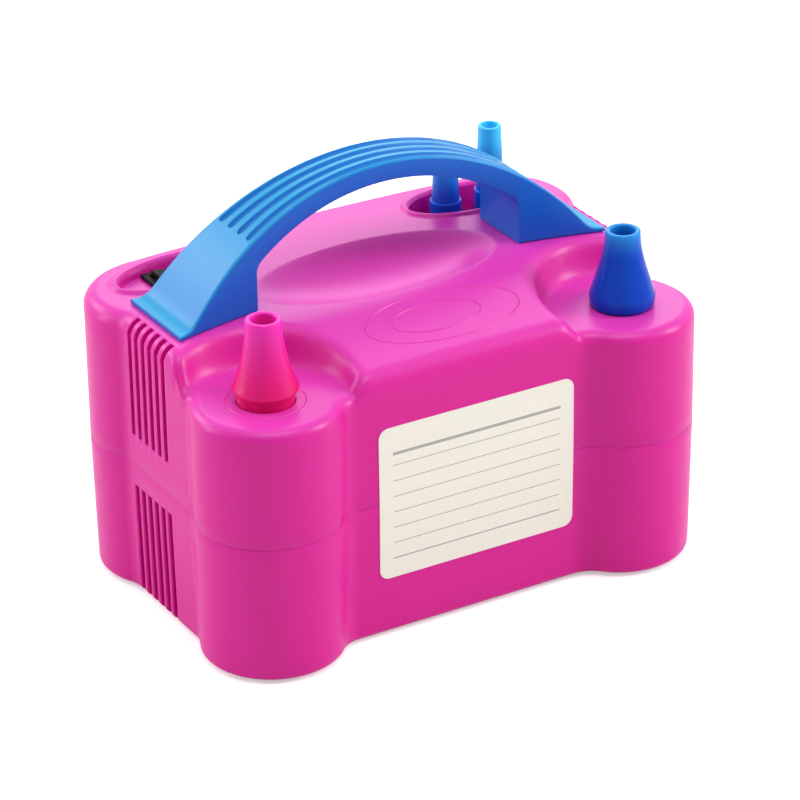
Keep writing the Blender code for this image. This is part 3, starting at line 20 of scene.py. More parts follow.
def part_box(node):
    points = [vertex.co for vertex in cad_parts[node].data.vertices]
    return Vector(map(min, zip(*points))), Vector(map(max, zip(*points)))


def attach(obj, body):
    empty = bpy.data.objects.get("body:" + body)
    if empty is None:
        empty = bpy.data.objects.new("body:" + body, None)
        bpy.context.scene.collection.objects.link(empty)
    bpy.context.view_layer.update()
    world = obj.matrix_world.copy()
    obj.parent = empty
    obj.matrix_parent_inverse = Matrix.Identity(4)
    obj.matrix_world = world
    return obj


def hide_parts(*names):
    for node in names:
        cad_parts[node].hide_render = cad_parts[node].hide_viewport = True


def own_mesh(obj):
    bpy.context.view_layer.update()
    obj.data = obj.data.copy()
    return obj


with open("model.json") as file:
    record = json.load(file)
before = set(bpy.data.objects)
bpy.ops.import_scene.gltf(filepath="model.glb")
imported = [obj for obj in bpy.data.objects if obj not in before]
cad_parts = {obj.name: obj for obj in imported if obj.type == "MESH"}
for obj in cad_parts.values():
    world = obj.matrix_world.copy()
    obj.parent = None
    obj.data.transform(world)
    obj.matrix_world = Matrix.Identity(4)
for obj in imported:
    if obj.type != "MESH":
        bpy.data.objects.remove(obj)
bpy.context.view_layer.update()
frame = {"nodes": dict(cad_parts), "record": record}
scene = bpy.context.scene


def link_object(name, data):
    made = bpy.data.objects.new(name, data)
    scene.collection.objects.link(made)
    return made


# %% [markdown]
# ## Camera
# The camera stands to the front left, a little above the handle, with a long lens, as the photograph's
# outlines ask. A long lens far away keeps the upright edges nearly parallel. It leans by under one degree.

# %% Camera
CAMERA_PLACE = Vector((-0.6882, -1.1876, 0.7500))
CAMERA_AZIMUTH = math.radians(-30.23)
CAMERA_HEIGHT = math.radians(26.46)
CAMERA_LEAN = math.radians(-0.86)
FOCAL_PIXELS = 3921
PICTURE_PIXELS = 800
SENSOR_MM = 36


def photo_camera():
    back = Vector((math.sin(CAMERA_AZIMUTH) * math.cos(CAMERA_HEIGHT),
                   -math.cos(CAMERA_AZIMUTH) * math.cos(CAMERA_HEIGHT),
                   math.sin(CAMERA_HEIGHT)))
    right = Vector((math.cos(CAMERA_AZIMUTH), math.sin(CAMERA_AZIMUTH), 0))
    up = back.cross(right)
    across = right * math.cos(CAMERA_LEAN) + up * math.sin(CAMERA_LEAN)
    upward = up * math.cos(CAMERA_LEAN) - right * math.sin(CAMERA_LEAN)
    turn = Matrix((across, upward, back)).transposed().to_4x4()
    lens = bpy.data.cameras.new("photo_camera")
    lens.lens = FOCAL_PIXELS / PICTURE_PIXELS * SENSOR_MM
    lens.sensor_width = SENSOR_MM
    scene.camera = link_object("photo_camera", lens)
    scene.camera.matrix_world = Matrix.Translation(CAMERA_PLACE) @ turn


photo_camera()
print("camera lens", round(scene.camera.data.lens, 1), "mm")

# %% [markdown]
# ## Finishes
# Nearly everything that shows is moulded plastic. Real mouldings are never one flat colour: the dye varies
# a little, the skin has a very fine grain, and handling leaves faint scuffs that change the gloss. One
# shader node group gives these three effects, and each plastic places it with its own strengths. Some
# colours also carry painted light: a paler colour painted where a face looks up, and a painted highlight
# that pales the upper part of each nozzle up to its thin rim. The case and the pink nozzle are slightly
# milky, so light softens their small edges. Short helpers add the nodes and link them, so that a material
# reads as a list of what feeds what.

# %% Node helpers
def feed(tree, inputs, values):
    """Sets plain values on a node's inputs, and links the outputs of other nodes to them."""
    for name, value in values.items():
        if isinstance(value, bpy.types.NodeSocket):
            tree.links.new(value, inputs[name])
        else:
            inputs[name].default_value = value


def add_noise(tree, source, scale, detail, roughness=0.5):
    noise = tree.nodes.new("ShaderNodeTexNoise")
    feed(tree, noise.inputs, {"Vector": source, "Scale": scale, "Detail": detail, "Roughness": roughness})
    return noise.outputs["Fac"]


def add_math(tree, operation, first, second):
    node = tree.nodes.new("ShaderNodeMath")
    node.operation = operation
    feed(tree, node.inputs, {0: first, 1: second})
    return node.outputs[0]


def add_mix(tree, share, first, second):
    """Mixes two colours; a Mix node keeps its colour sockets behind those for numbers and vectors."""
    node = tree.nodes.new("ShaderNodeMix")
    node.data_type = "RGBA"
    feed(tree, node.inputs, {0: share, 6: first, 7: second})
    return node.outputs[2]


def add_bump(tree, height, strength, distance):
    bump = tree.nodes.new("ShaderNodeBump")
    feed(tree, bump.inputs, {"Height": height, "Strength": strength, "Distance": distance})
    return bump.outputs["Normal"]


def object_place(tree):
    return tree.nodes.new("ShaderNodeTexCoord").outputs["Object"]


def object_parts(tree):
    """The X, Y and Z of a place on the object."""
    parts = tree.nodes.new("ShaderNodeSeparateXYZ")
    feed(tree, parts.inputs, {0: object_place(tree)})
    return parts.outputs


def new_group(name, kind, sockets):
    """An empty node group; gives the group, the values that come in and the sockets that go out."""
    group = bpy.data.node_groups.new(name, kind)
    for way, title, value in sockets:
        group.interface.new_socket(title, in_out=way, socket_type="NodeSocket" + value)
    return group, group.nodes.new("NodeGroupInput").outputs, group.nodes.new("NodeGroupOutput").inputs


def new_material(name):
    made = bpy.data.materials.new(name)
    made.use_nodes = True
    return made, made.node_tree, made.node_tree.nodes["Principled BSDF"]


def shade(value):
    """A colour as RGBA in linear light, from the 0 to 255 values that a picture editor shows."""
    linear = [(c / 255 / 12.92) if c <= 10 else ((c / 255 + 0.055) / 1.055) ** 2.4 for c in value]
    return (*linear, 1.0)


# %% Shared plastic skin
DRIFT_SCALE = 28
DRIFT_SHARE = 0.7
SPECK_SCALE = 900
SPECK_SHARE = 0.12
SCUFF_SCALE = 160
SCUFF_ROUGHNESS = 0.65
GRAIN_SCALE = 1900
GRAIN_HEIGHT = 0.0004
SKIN_SOCKETS = (("INPUT", "Colour", "Color"), ("INPUT", "Deep Colour", "Color"), ("INPUT", "Gloss", "Float"),
                ("INPUT", "Scuff", "Float"), ("INPUT", "Grain", "Float"), ("OUTPUT", "Colour", "Color"),
                ("OUTPUT", "Roughness", "Float"), ("OUTPUT", "Normal", "Vector"))


def moulded_skin():
    group, start, end = new_group("moulded_skin", "ShaderNodeTree", SKIN_SOCKETS)
    place = object_place(group)
    drift = add_math(group, "MULTIPLY", add_noise(group, place, DRIFT_SCALE, 3), DRIFT_SHARE)
    speck = add_math(group, "MULTIPLY", add_noise(group, place, SPECK_SCALE, 2), SPECK_SHARE)
    scuff = add_math(group, "SUBTRACT", add_noise(group, place, SCUFF_SCALE, 6, SCUFF_ROUGHNESS), 0.5)
    worn = add_math(group, "MULTIPLY", scuff, start["Scuff"])
    grain = add_noise(group, place, GRAIN_SCALE, 2)
    share = add_math(group, "ADD", drift, speck)
    feed(group, end, {"Colour": add_mix(group, share, start["Colour"], start["Deep Colour"]),
                      "Roughness": add_math(group, "ADD", start["Gloss"], worn),
                      "Normal": add_bump(group, grain, start["Grain"], GRAIN_HEIGHT)})
    return group


SKIN = moulded_skin()
print("skin group inputs:", [title for way, title, value in SKIN_SOCKETS if way == "INPUT"])

# %% Plastics
PLASTIC_IOR = 1.5
MILKY_REACH = (0.0016, 0.0004, 0.0009)
TOP_LIGHT_POWER = 1.5
RIM_POWER = 2.0


def paint_top_light(tree, colour, top_light_colour):
    """Paints a paler colour on faces that look up, as painted light from above; the mesh keeps how far each
    looks up.
    """
    upward = tree.nodes.new("ShaderNodeAttribute")
    upward.attribute_name = "upward"
    return add_mix(tree, add_math(tree, "POWER", upward.outputs["Fac"], TOP_LIGHT_POWER), colour, shade(top_light_colour))


def paint_light_above(tree, colour, pale, low, high):
    """Paints a colour paler between two heights, a painted highlight on the upper part of a nozzle."""
    above = add_math(tree, "SUBTRACT", object_parts(tree)["Z"], low)
    share = add_math(tree, "DIVIDE", above, high - low)
    share = add_math(tree, "MINIMUM", add_math(tree, "MAXIMUM", share, 0.0), 1.0)
    return add_mix(tree, add_math(tree, "POWER", share, RIM_POWER), colour, shade(pale))


def plastic(name, colour, deep, gloss=0.3, scuff=0.08, grain=0.02, rim=None, top_light_colour=None,
            specular=0.32, milky=0.0):
    """A moulded plastic.

    rim is a paler colour with the heights it comes in between, painted as a highlight on the upper part, and
    the top colour is painted light on faces that look up. milky is the share of light that goes into the
    plastic and comes out again nearby, as thin ribs and lips show.
    """
    made, tree, shader = new_material(name)
    skin = tree.nodes.new("ShaderNodeGroup")
    skin.node_tree = SKIN
    feed(tree, skin.inputs, {"Colour": shade(colour), "Deep Colour": shade(deep), "Gloss": gloss,
                             "Scuff": scuff, "Grain": grain})
    tint = skin.outputs["Colour"]
    if rim:
        tint = paint_light_above(tree, tint, *rim)
    if top_light_colour:
        tint = paint_top_light(tree, tint, top_light_colour)
    feed(tree, shader.inputs, {"Base Color": tint, "Roughness": skin.outputs["Roughness"],
                               "Normal": skin.outputs["Normal"], "IOR": PLASTIC_IOR,
                               "Specular IOR Level": specular, "Subsurface Weight": milky,
                               "Subsurface Radius": MILKY_REACH, "Subsurface Scale": 1.0})
    return made


# The top colours of the case and the handle are painted light: a paler colour on faces that look up.
CASE_MAGENTA = plastic("case_magenta", (220, 20, 152), (213, 16, 144), 0.32, top_light_colour=(222, 60, 178),
                       specular=0.29, milky=0.35)
# The rim colours of the nozzles are painted highlights that pale their upper parts.
NOZZLE_PINK = plastic("nozzle_pink", (222, 8, 106), (215, 6, 96), 0.3,
                      rim=((238, 42, 186), 0.099, 0.1405), specular=0.24, milky=0.35)
HANDLE_BLUE = plastic("handle_blue", (6, 98, 202), (4, 88, 192), 0.36, top_light_colour=(18, 158, 210))
NOZZLE_BLUE = plastic("nozzle_blue", (2, 68, 190), (2, 61, 182), 0.14, 0.04,
                      rim=((40, 158, 236), 0.1265, 0.139), specular=0.15)
SPARE_BLUE = plastic("spare_blue", (6, 72, 196), (4, 62, 186), rim=((62, 196, 248), 0.120, 0.144),
                     specular=0.24)
SWITCH_BLACK = plastic("switch_black", (12, 12, 16), (8, 8, 11), 0.5, 0.1, 0.05, specular=0.1)
PLASTICS = (CASE_MAGENTA, NOZZLE_PINK, HANDLE_BLUE, NOZZLE_BLUE, SPARE_BLUE, SWITCH_BLACK)
print("plastics:", [material.name for material in PLASTICS])

# %% [markdown]
# ## Mesh helpers
# Pieces are built as plain lists of points and faces. A turned piece is a profile spun round an upright
# axis, and a loft is a row of closed sections joined by quads. Both come out closed, with their faces
# outwards.

# %% Mesh helpers
SMOOTH_ANGLE = math.radians(38)
SAME_PLACE = 1e-6
BEVEL_SEGMENTS = 3


def soften(piece, angle=SMOOTH_ANGLE):
    """Smooth shading, with edges kept sharp where two faces meet at more than the angle."""
    mesh = piece.data
    mesh.polygons.foreach_set("use_smooth", [True] * len(mesh.polygons))
    mesh.set_sharp_from_angle(angle=angle)


def to_object(name, points, faces, material):
    mesh = bpy.data.meshes.new(name)
    mesh.from_pydata([tuple(p) for p in points], [], faces)
    mesh.validate()
    mesh.materials.append(material)
    made = link_object(name, mesh)
    soften(made)
    return made


@contextmanager
def editing(mesh):
    """Opens a mesh for editing, and puts the edited shape back into it."""
    bm = bmesh.new()
    bm.from_mesh(mesh)
    yield bm
    bm.to_mesh(mesh)
    bm.free()


def face_out(piece):
    """Merges doubles and turns every face of a closed shape outwards."""
    with editing(piece.data) as bm:
        bmesh.ops.remove_doubles(bm, verts=bm.verts, dist=SAME_PLACE)
        bmesh.ops.recalc_face_normals(bm, faces=bm.faces)


def closed_object(name, points, faces, material):
    made = to_object(name, points, faces, material)
    face_out(made)
    soften(made)
    return made


def mark_upward(piece):
    """Keeps on each point how far its surface looks up, for the paler colour painted there as light from
    above.
    """
    upward = piece.data.attributes.new("upward", "FLOAT", "POINT")
    upward.data.foreach_set("value", [max(0.0, point.normal.z) for point in piece.data.vertices])


def add_modifier(piece, name, kind, **settings):
    modifier = piece.modifiers.new(name, kind)
    for setting, value in settings.items():
        setattr(modifier, setting, value)
    return modifier


def finish_modifiers(piece):
    """Turns the modified shape into the piece's own plain mesh."""
    bpy.context.view_layer.update()
    shaped = piece.evaluated_get(bpy.context.evaluated_depsgraph_get())
    mesh = bpy.data.meshes.new_from_object(shaped)
    piece.modifiers.clear()
    old = piece.data
    piece.data = mesh
    bpy.data.meshes.remove(old)
    mesh.name = piece.name
    soften(piece)
    return piece


def dress(piece, body, slot, *nodes):
    """Says which body a piece rides on, and hides the CAD nodes it stands for. slot, the finish, is not used.
    """
    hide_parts(*nodes)
    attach(piece, body)
    return piece


# %% Profiles and turned shapes
CORNER_SHARE = 0.49


def ring_quads(low, high, count):
    """Quads between two closed rows of points, given the number of each row's first point."""
    return [(low + k, low + (k + 1) % count, high + (k + 1) % count, high + k) for k in range(count)]


def arc(centre, radius, start, end, steps):
    turns = [start + (end - start) * k / steps for k in range(steps + 1)]
    return [(centre[0] + radius * math.cos(turn), centre[1] + radius * math.sin(turn)) for turn in turns]


def rounded_profile(corners, steps=5):
    """A profile of (radius, height) points with some corners rounded: each corner is (r, z, rounding)."""
    points = []
    for k, (r, z, rounding) in enumerate(corners):
        if rounding == 0 or k in (0, len(corners) - 1):
            points.append((r, z))
            continue
        here = Vector((r, z))
        back = Vector(corners[k - 1][:2]) - here
        ahead = Vector(corners[k + 1][:2]) - here
        reach = min(rounding, back.length * CORNER_SHARE, ahead.length * CORNER_SHARE)
        first = here + back.normalized() * reach
        last = here + ahead.normalized() * reach
        for step in range(steps + 1):
            t = step / steps
            points.append(tuple(first * (1 - t) ** 2 + here * 2 * t * (1 - t) + last * t ** 2))
    return points


def turned(name, profile, centre, material, segments=96):
    """A closed profile spun round an upright axis; a profile point at radius 0 becomes a pole."""
    points, faces, rows = [], [], []
    for r, z in profile:
        if r < SAME_PLACE:
            rows.append([len(points)] * segments)
            points.append((centre[0], centre[1], z))
            continue
        rows.append(list(range(len(points), len(points) + segments)))
        for k in range(segments):
            turn = math.tau * k / segments
            points.append((centre[0] + r * math.cos(turn), centre[1] + r * math.sin(turn), z))
    pairs = list(zip(rows, rows[1:]))
    if profile[0][0] >= SAME_PLACE:
        pairs.append((rows[-1], rows[0]))
    for lower, upper in pairs:
        for k in range(segments):
            n = (k + 1) % segments
            loop = [lower[k], lower[n], upper[n], upper[k]]
            face = [v for i, v in enumerate(loop) if v != loop[i - 1]]
            if len(face) > 2:
                faces.append(face)
    return closed_object(name, points, faces, material)


# %% [markdown]
# ## Case plan
# Seen from above, the case is a rectangle with a round lobe at each corner. Hollow arcs lead from the lobes
# into the end panels and the front panel, and the rear is flat. The outline is walked in small steps, and
# it can be moved inwards by any inset, which the rounded edges use.

# %% Case outline
LOBE_RADIUS = 0.029
LOBE_X = 0.0782
LOBE_Y = 0.0425
END_PANEL_X = 0.1025
FRONT_PANEL_Y = 0.0587
NOTCH_RADIUS = 0.012
VENT_COUNT = 6
VENT_Y = 0.0067
VENT_WIDTH = 0.0029
VENT_PITCH = 0.0054
NOTCH_STEPS = 26
LOBE_STEPS = 64
PANEL_STEP = 0.0012


def vent_edges():
    """The y of both edges of each vent slot."""
    middles = [VENT_Y + (k - (VENT_COUNT - 1) / 2) * VENT_PITCH for k in range(VENT_COUNT)]
    return [(y - VENT_WIDTH / 2, y + VENT_WIDTH / 2) for y in middles]


def corner_outline(inset, notched):
    """The lobe in the corner at +X +Y, from the end panel to a notched front or a flat rear."""
    reach = LOBE_RADIUS + NOTCH_RADIUS
    end_dx = END_PANEL_X + NOTCH_RADIUS - LOBE_X
    end_dy = math.sqrt(reach ** 2 - end_dx ** 2)
    end_angle = math.atan2(end_dy, -end_dx)
    lobe = (LOBE_X, LOBE_Y)
    end_notch = (LOBE_X + end_dx, LOBE_Y - end_dy)
    points = arc(end_notch, NOTCH_RADIUS + inset, math.pi, end_angle, NOTCH_STEPS)
    if not notched:
        return points + arc(lobe, LOBE_RADIUS - inset, end_angle - math.pi, math.pi / 2, LOBE_STEPS)[1:]
    side_dy = FRONT_PANEL_Y + NOTCH_RADIUS - LOBE_Y
    side_dx = math.sqrt(reach ** 2 - side_dy ** 2)
    side_angle = math.atan2(-side_dy, side_dx)
    points += arc(lobe, LOBE_RADIUS - inset, end_angle - math.pi, side_angle + math.pi, LOBE_STEPS)[1:]
    side_notch = (LOBE_X - side_dx, LOBE_Y + side_dy)
    return points + arc(side_notch, NOTCH_RADIUS + inset, side_angle, -math.pi / 2, NOTCH_STEPS)[1:]


def end_stops(start, end):
    """The y values along an end panel: even steps, and exactly the edges of the vent slots."""
    stops = {round(y, 7) for edges in vent_edges() for y in edges}
    low, high = sorted((start, end))
    edges = [low] + sorted(stops) + [high]
    values = []
    for a, b in zip(edges, edges[1:]):
        steps = max(1, round((b - a) / PANEL_STEP))
        values += [a + (b - a) * k / steps for k in range(steps)]
    values = values[1:]
    return values if start < end else values[::-1]


def case_outline(inset):
    """The whole plan, moved inwards by an inset, anticlockwise from the right end panel's rear notch."""
    rear = corner_outline(inset, False)
    front = corner_outline(inset, True)
    quarters = (rear, [(-x, y) for x, y in reversed(rear)],
                [(-x, -y) for x, y in front], [(x, -y) for x, y in reversed(front)])
    points = []
    for k, current in enumerate(quarters):
        points += current
        (ax, ay), (bx, by) = current[-1], quarters[(k + 1) % 4][0]
        if k % 2:
            points += [(ax, y) for y in end_stops(ay, by)]
        else:
            steps = round(abs(bx - ax) / (2 * PANEL_STEP))
            points += [(ax + (bx - ax) * n / steps, ay) for n in range(1, steps)]
    return points


print("outline points:", len(case_outline(0)))

# %% [markdown]
# ## Height of the top
# The top of the case is one moulded surface. A crowned deck falls gently to the front. Round each nozzle it
# drops in a soft step to a lower platform: a rounded crest, a steep wall and a hollow fillet. A finger
# scoop lies under the handle, and two oval pockets with raised rims lie behind it. A function gives the
# height at any place, so the same rule makes the crest, the fillet and the rims, and thin engraved lines
# are cut by lowering it along a loop.

# %% Height of the top
PARTING_Z = 0.0578
PLATFORM_Z = 0.106
DECK_Z = 0.1208
DECK_CROWN_RADIUS = 2.2
DECK_FALL_SLOPE = 0.2
DECK_FALL_BLEND = 0.016
DECK_FALL_Y = -0.0069
DECK_EDGE_RADIUS = 0.0058
PLATFORM_EDGE_RADIUS = 0.0048
STEP_RADIUS = 0.033
STEP_WALL_ANGLE = math.radians(70)
STEP_FILLET = 0.0055
SCOOP_HALF_LENGTH = 0.053
SCOOP_HALF_WIDTH = 0.025
SCOOP_DEPTH = 0.010
SCOOP_Y = 0.010
SCOOP_LIP = 0.016
SCOOP_FADE = 0.45
SCOOP_FADE_START = -0.4
POCKET_X = 0.065
POCKET_Y = 0.0485
POCKET_HALF_LENGTH = 0.0266
POCKET_HALF_WIDTH = 0.012
POCKET_WALL_RUN = 0.0008
RIM_WIDTH = 0.0034
RIM_HEIGHT = 0.0012
SPARE_POCKET_DEPTH = 0.014
SWITCH_POCKET_DEPTH = 0.0036
PORT_X = 0.0787
PORT_Y = -0.0433
PORTS = ((-PORT_X, PORT_Y), (PORT_X, PORT_Y))


def nearest(x, y, places):
    """Distance to the nearest of some places."""
    return min(math.hypot(x - px, y - py) for px, py in places)


def edge_drop(distance, radius):
    """How far a rounded edge has fallen at a distance inside it."""
    inside = min(max(distance, 0.0), radius)
    return radius - math.sqrt(radius ** 2 - (radius - inside) ** 2)


def deck_height(x, y):
    ahead = max(0.0, DECK_FALL_Y - y)
    blend = min(ahead, DECK_FALL_BLEND)
    fall = DECK_FALL_SLOPE * (blend ** 2 / (2 * DECK_FALL_BLEND) + ahead - blend)
    return DECK_Z - x ** 2 / (2 * DECK_CROWN_RADIUS) - fall


def crest_drop(distance):
    """Fall of the deck's crest: a round edge that runs on as a steep straight wall."""
    beyond = max(0.0, DECK_EDGE_RADIUS - distance)
    bend = DECK_EDGE_RADIUS * math.sin(STEP_WALL_ANGLE)
    if beyond <= bend:
        return DECK_EDGE_RADIUS - math.sqrt(DECK_EDGE_RADIUS ** 2 - beyond ** 2)
    return DECK_EDGE_RADIUS * (1 - math.cos(STEP_WALL_ANGLE)) + (beyond - bend) * math.tan(STEP_WALL_ANGLE)


def nose_distance(inset, step):
    """Distance inside the deck, whose corners between case edge and step circle are round like a nose."""
    from_edge = max(0.0, DECK_EDGE_RADIUS - inset)
    from_step = max(0.0, DECK_EDGE_RADIUS - step)
    return DECK_EDGE_RADIUS - math.hypot(from_edge, from_step)


def higher(first, second, blend):
    """The higher of two heights, with a fillet where they cross."""
    overlap = max(0.0, blend - abs(first - second))
    return max(first, second) + overlap ** 2 / (4 * blend)


def oval_distance(x, y, centre, half_length, half_width):
    """Distance outside an oval line; deep inside it, where no rule needs it, just a safe depth."""
    along = (x - centre[0]) / half_length
    over = (y - centre[1]) / half_width
    share = math.hypot(along, over)
    if share < 0.5:
        return -half_width / 2
    return (share - 1) * share / math.hypot(along / half_length, over / half_width)


def pocket_floor(side):
    depth = SPARE_POCKET_DEPTH if side > 0 else SWITCH_POCKET_DEPTH
    return deck_height(POCKET_X, POCKET_Y) - depth


def scoop_share(x, y):
    """Share of the scoop's depth: a crisp lip at the front, and a soft edge that fades out at the rear."""
    across = (y - SCOOP_Y) / SCOOP_HALF_WIDTH
    inside = 1 - (x / SCOOP_HALF_LENGTH) ** 2 - across ** 2
    rearward = min(1.0, max(0.0, (across - SCOOP_FADE_START) / (1 - SCOOP_FADE_START)))
    soft = SCOOP_LIP + (SCOOP_FADE - SCOOP_LIP) * rearward ** 2
    return max(0.0, (inside + math.hypot(inside, soft) - soft) / 2)


def top_height(x, y, inset):
    platform = PLATFORM_Z - edge_drop(inset, PLATFORM_EDGE_RADIUS)
    step = nearest(x, y, PORTS) - STEP_RADIUS
    deck = deck_height(x, y) - crest_drop(nose_distance(inset, step))
    height = higher(platform, deck, STEP_FILLET)
    height -= SCOOP_DEPTH * scoop_share(x, y)
    for side in (-1, 1):
        mouth = oval_distance(x, y, (side * POCKET_X, POCKET_Y), POCKET_HALF_LENGTH, POCKET_HALF_WIDTH)
        floor = pocket_floor(side)
        if mouth <= 0:
            height = floor + (height - floor) * max(0.0, 1 + mouth / POCKET_WALL_RUN)
        elif mouth < RIM_WIDTH:
            height += RIM_HEIGHT * math.sin(math.pi * mouth / RIM_WIDTH)
    return height


print("deck", DECK_Z, "platform", PLATFORM_Z, "spare pocket floor", round(pocket_floor(1), 4))

# %% [markdown]
# ## Shell skins
# Each half of the case is a skin 2.5 mm thick. Its outer face is made first: rows of points follow the wall
# and bend round the edge, and a triangulated sheet fills the inside of the row at that end. The sheet gets
# a line of points along every crest, fillet and rim, so that those shapes stay crisp, and an even grid
# between them. Vent slots and nozzle ports are left open, a Solidify modifier gives the wall its thickness,
# and a Bevel rounds the lips of the openings.

# %% Filling a rim with a shaped sheet
WALL = 0.0025
GRID_PITCH = 0.0017
GRID_ROW_SHARE = 0.87
LIP_ROUND = 0.0006
SHEET_MERGE = 1e-7


def inside_fence(points, fence):
    """Which of the points lie inside a closed line, by counting crossings."""
    places = np.array(points)
    start = np.array(fence)
    end = np.roll(start, -1, axis=0)
    found = np.zeros(len(places), bool)
    for (ax, ay), (bx, by) in zip(start, end):
        if ay == by:
            continue
        spans = (ay > places[:, 1]) != (by > places[:, 1])
        found ^= spans & (places[:, 0] < ax + (places[:, 1] - ay) * (bx - ax) / (by - ay))
    return found


def oval(centre, half_length, half_width, count, outset=0.0):
    """Points on an ellipse, moved outwards along its normals."""
    points = []
    for k in range(count):
        turn = math.tau * k / count
        normal = Vector((math.cos(turn) / half_length, math.sin(turn) / half_width)).normalized()
        points.append((centre[0] + half_length * math.cos(turn) + outset * normal.x,
                       centre[1] + half_width * math.sin(turn) + outset * normal.y))
    return points


def circle(centre, radius, count):
    return oval(centre, radius, radius, count)


def sheet_plan(fence, inner_fence, loops):
    """Triangulates the inside of a fence; gives places, the fence number of each place, and triangles."""
    points = list(fence)
    edges = [(k, (k + 1) % len(fence)) for k in range(len(fence))]
    for loop in loops:
        names = []
        for point, keep in zip(loop, inside_fence(loop, inner_fence)):
            names.append(len(points) if keep else None)
            if keep:
                points.append(point)
        edges += [(a, b) for a, b in zip(names, names[1:] + names[:1]) if a is not None and b is not None]
    # The grid reaches past the outline on every side, and only what lies inside the inner fence is kept
    columns = round(LOBE_X * 3 / GRID_PITCH)
    rows = round(LOBE_Y * 4 / GRID_PITCH)
    grid = [((c + 0.5 * (r % 2) - columns / 2) * GRID_PITCH, (r - rows / 2) * GRID_PITCH * GRID_ROW_SHARE)
            for r in range(rows + 1) for c in range(columns + 1)]
    points += [point for point, keep in zip(grid, inside_fence(grid, inner_fence)) if keep]
    flat = [Vector(p) for p in points]
    places, _, faces, origins, _, _ = delaunay_2d_cdt(flat, edges, [], 1, SHEET_MERGE)
    rim = [next((k for k in origin if k < len(fence)), None) for origin in origins]
    return places, rim, faces


def shell_skin(name, rows, sheet, open_cell, open_hole, height, flip):
    """An open skin from wall rows and a sheet; cells and sheet places that are open are left out."""
    count = len(rows[0])
    points = [p for row in rows for p in row]
    faces = []
    for r in range(len(rows) - 1):
        for quad in ring_quads(r * count, (r + 1) * count, count):
            if not open_cell(r, points[quad[0]], points[quad[1]]):
                faces.append(quad)
    places, rim, triangles = sheet
    start = 0 if flip else (len(rows) - 1) * count
    names = []
    for place, at in zip(places, rim):
        if at is not None:
            names.append(start + at)
            continue
        names.append(len(points))
        points.append((place.x, place.y, height(place.x, place.y)))
    for triangle in triangles:
        middle = sum((places[k] for k in triangle), Vector((0, 0))) / 3
        if open_hole(middle.x, middle.y):
            continue
        face = [names[k] for k in triangle]
        faces.append(face[::-1] if flip else face)
    return to_object(name, points, faces, CASE_MAGENTA)


def give_thickness(piece, lips):
    """Solidify the skin inwards, and round the lips whose middle the test picks."""
    with editing(piece.data) as bm:
        bmesh.ops.delete(bm, geom=[v for v in bm.verts if not v.link_faces], context="VERTS")
        weight = bm.edges.layers.float.new("bevel_weight_edge")
        for edge in bm.edges:
            if edge.is_boundary and lips((edge.verts[0].co + edge.verts[1].co) / 2):
                edge[weight] = 1.0
    add_modifier(piece, "wall", "SOLIDIFY", thickness=WALL, offset=-1)
    add_modifier(piece, "lip", "BEVEL", limit_method="WEIGHT", width=LIP_ROUND, segments=BEVEL_SEGMENTS)
    return finish_modifiers(piece)


# %% [markdown]
# ## Upper shell
# The vents are six upright slots in each end panel that run up over the rounded edge, so the ribs between
# them end in small hooks. The deck carries two plain engraved ovals, and a thin ring line runs round the
# press nozzle.

# %% Upper shell
SEAM_GAP = 0.00002
SEAM_ROUND = 0.00014
UPPER_VENT_LOW = 0.0707
VENT_TOP_INSET = 0.0052
EDGE_STEPS = 10
FENCE_GAP = 0.0006
PORT_BORES = (0.0113, 0.0103)
LINE_DEPTH = 0.00035
LINE_HALF_WIDTH = 0.00032
OVAL_MARKS = (((0.003, -0.0343), 0.033, 0.0145), ((0.0003, -0.0343), 0.019, 0.0083))
MARK_POINTS = (220, 150)
STEP_POINTS = 200
PORT_POINTS = 96
SCOOP_POINTS = 180
POCKET_POINTS = 150
RING_POINTS = 120
RING_LINE_RADIUS = 0.0150
WALL_LEVELS = (0.0642, UPPER_VENT_LOW, 0.0775, 0.0850, 0.0925)
STEP_LOOP_GAP = 0.0007
STEP_LEVELS = [DECK_EDGE_RADIUS * share for share in (1, 0.8, 0.6, 0.45, 0.3, 0.18, 0.06)]
STEP_LEVELS += [-STEP_LOOP_GAP * k for k in range(1, 11)]
SCOOP_SHARES = (1.08, 1.05, 1.025, 1.0, 0.975, 0.95, 0.91, 0.85)
POCKET_LEVELS = [-POCKET_WALL_RUN, -POCKET_WALL_RUN / 2] + [RIM_WIDTH * k / 8 for k in range(9)]


def in_vent(a, b, panel):
    """Whether a wall cell between two neighbouring outline points belongs to a vent slot."""
    if min(abs(a[0]), abs(b[0])) < panel - SAME_PLACE:
        return False
    middle = (a[1] + b[1]) / 2
    return any(low < middle < high for low, high in vent_edges())


def upper_rows():
    low = PARTING_Z + SEAM_GAP
    flat = case_outline(0)
    edge = [top_height(x, y, 0) for x, y in flat]
    rows = [[(x, y, low + SEAM_ROUND * (1 - share)) for x, y in case_outline(SEAM_ROUND * share ** 2)]
            for share in (1.0, 0.5, 0.0)]
    levels = ["seam"] * len(rows)
    for level in WALL_LEVELS:
        rows.append([(x, y, level) for x, y in flat])
        levels.append(level)
    rows.append([(x, y, (WALL_LEVELS[-1] + z) / 2) for (x, y), z in zip(flat, edge)])
    rows.append([(x, y, z) for (x, y), z in zip(flat, edge)])
    levels += ["wall", "edge"]
    for k in range(1, EDGE_STEPS + 1):
        inset = DECK_EDGE_RADIUS * (1 - math.cos(math.pi / 2 * k / EDGE_STEPS))
        rows.append([(x, y, top_height(x, y, inset)) for x, y in case_outline(inset)])
        levels.append(inset)
    return rows, levels


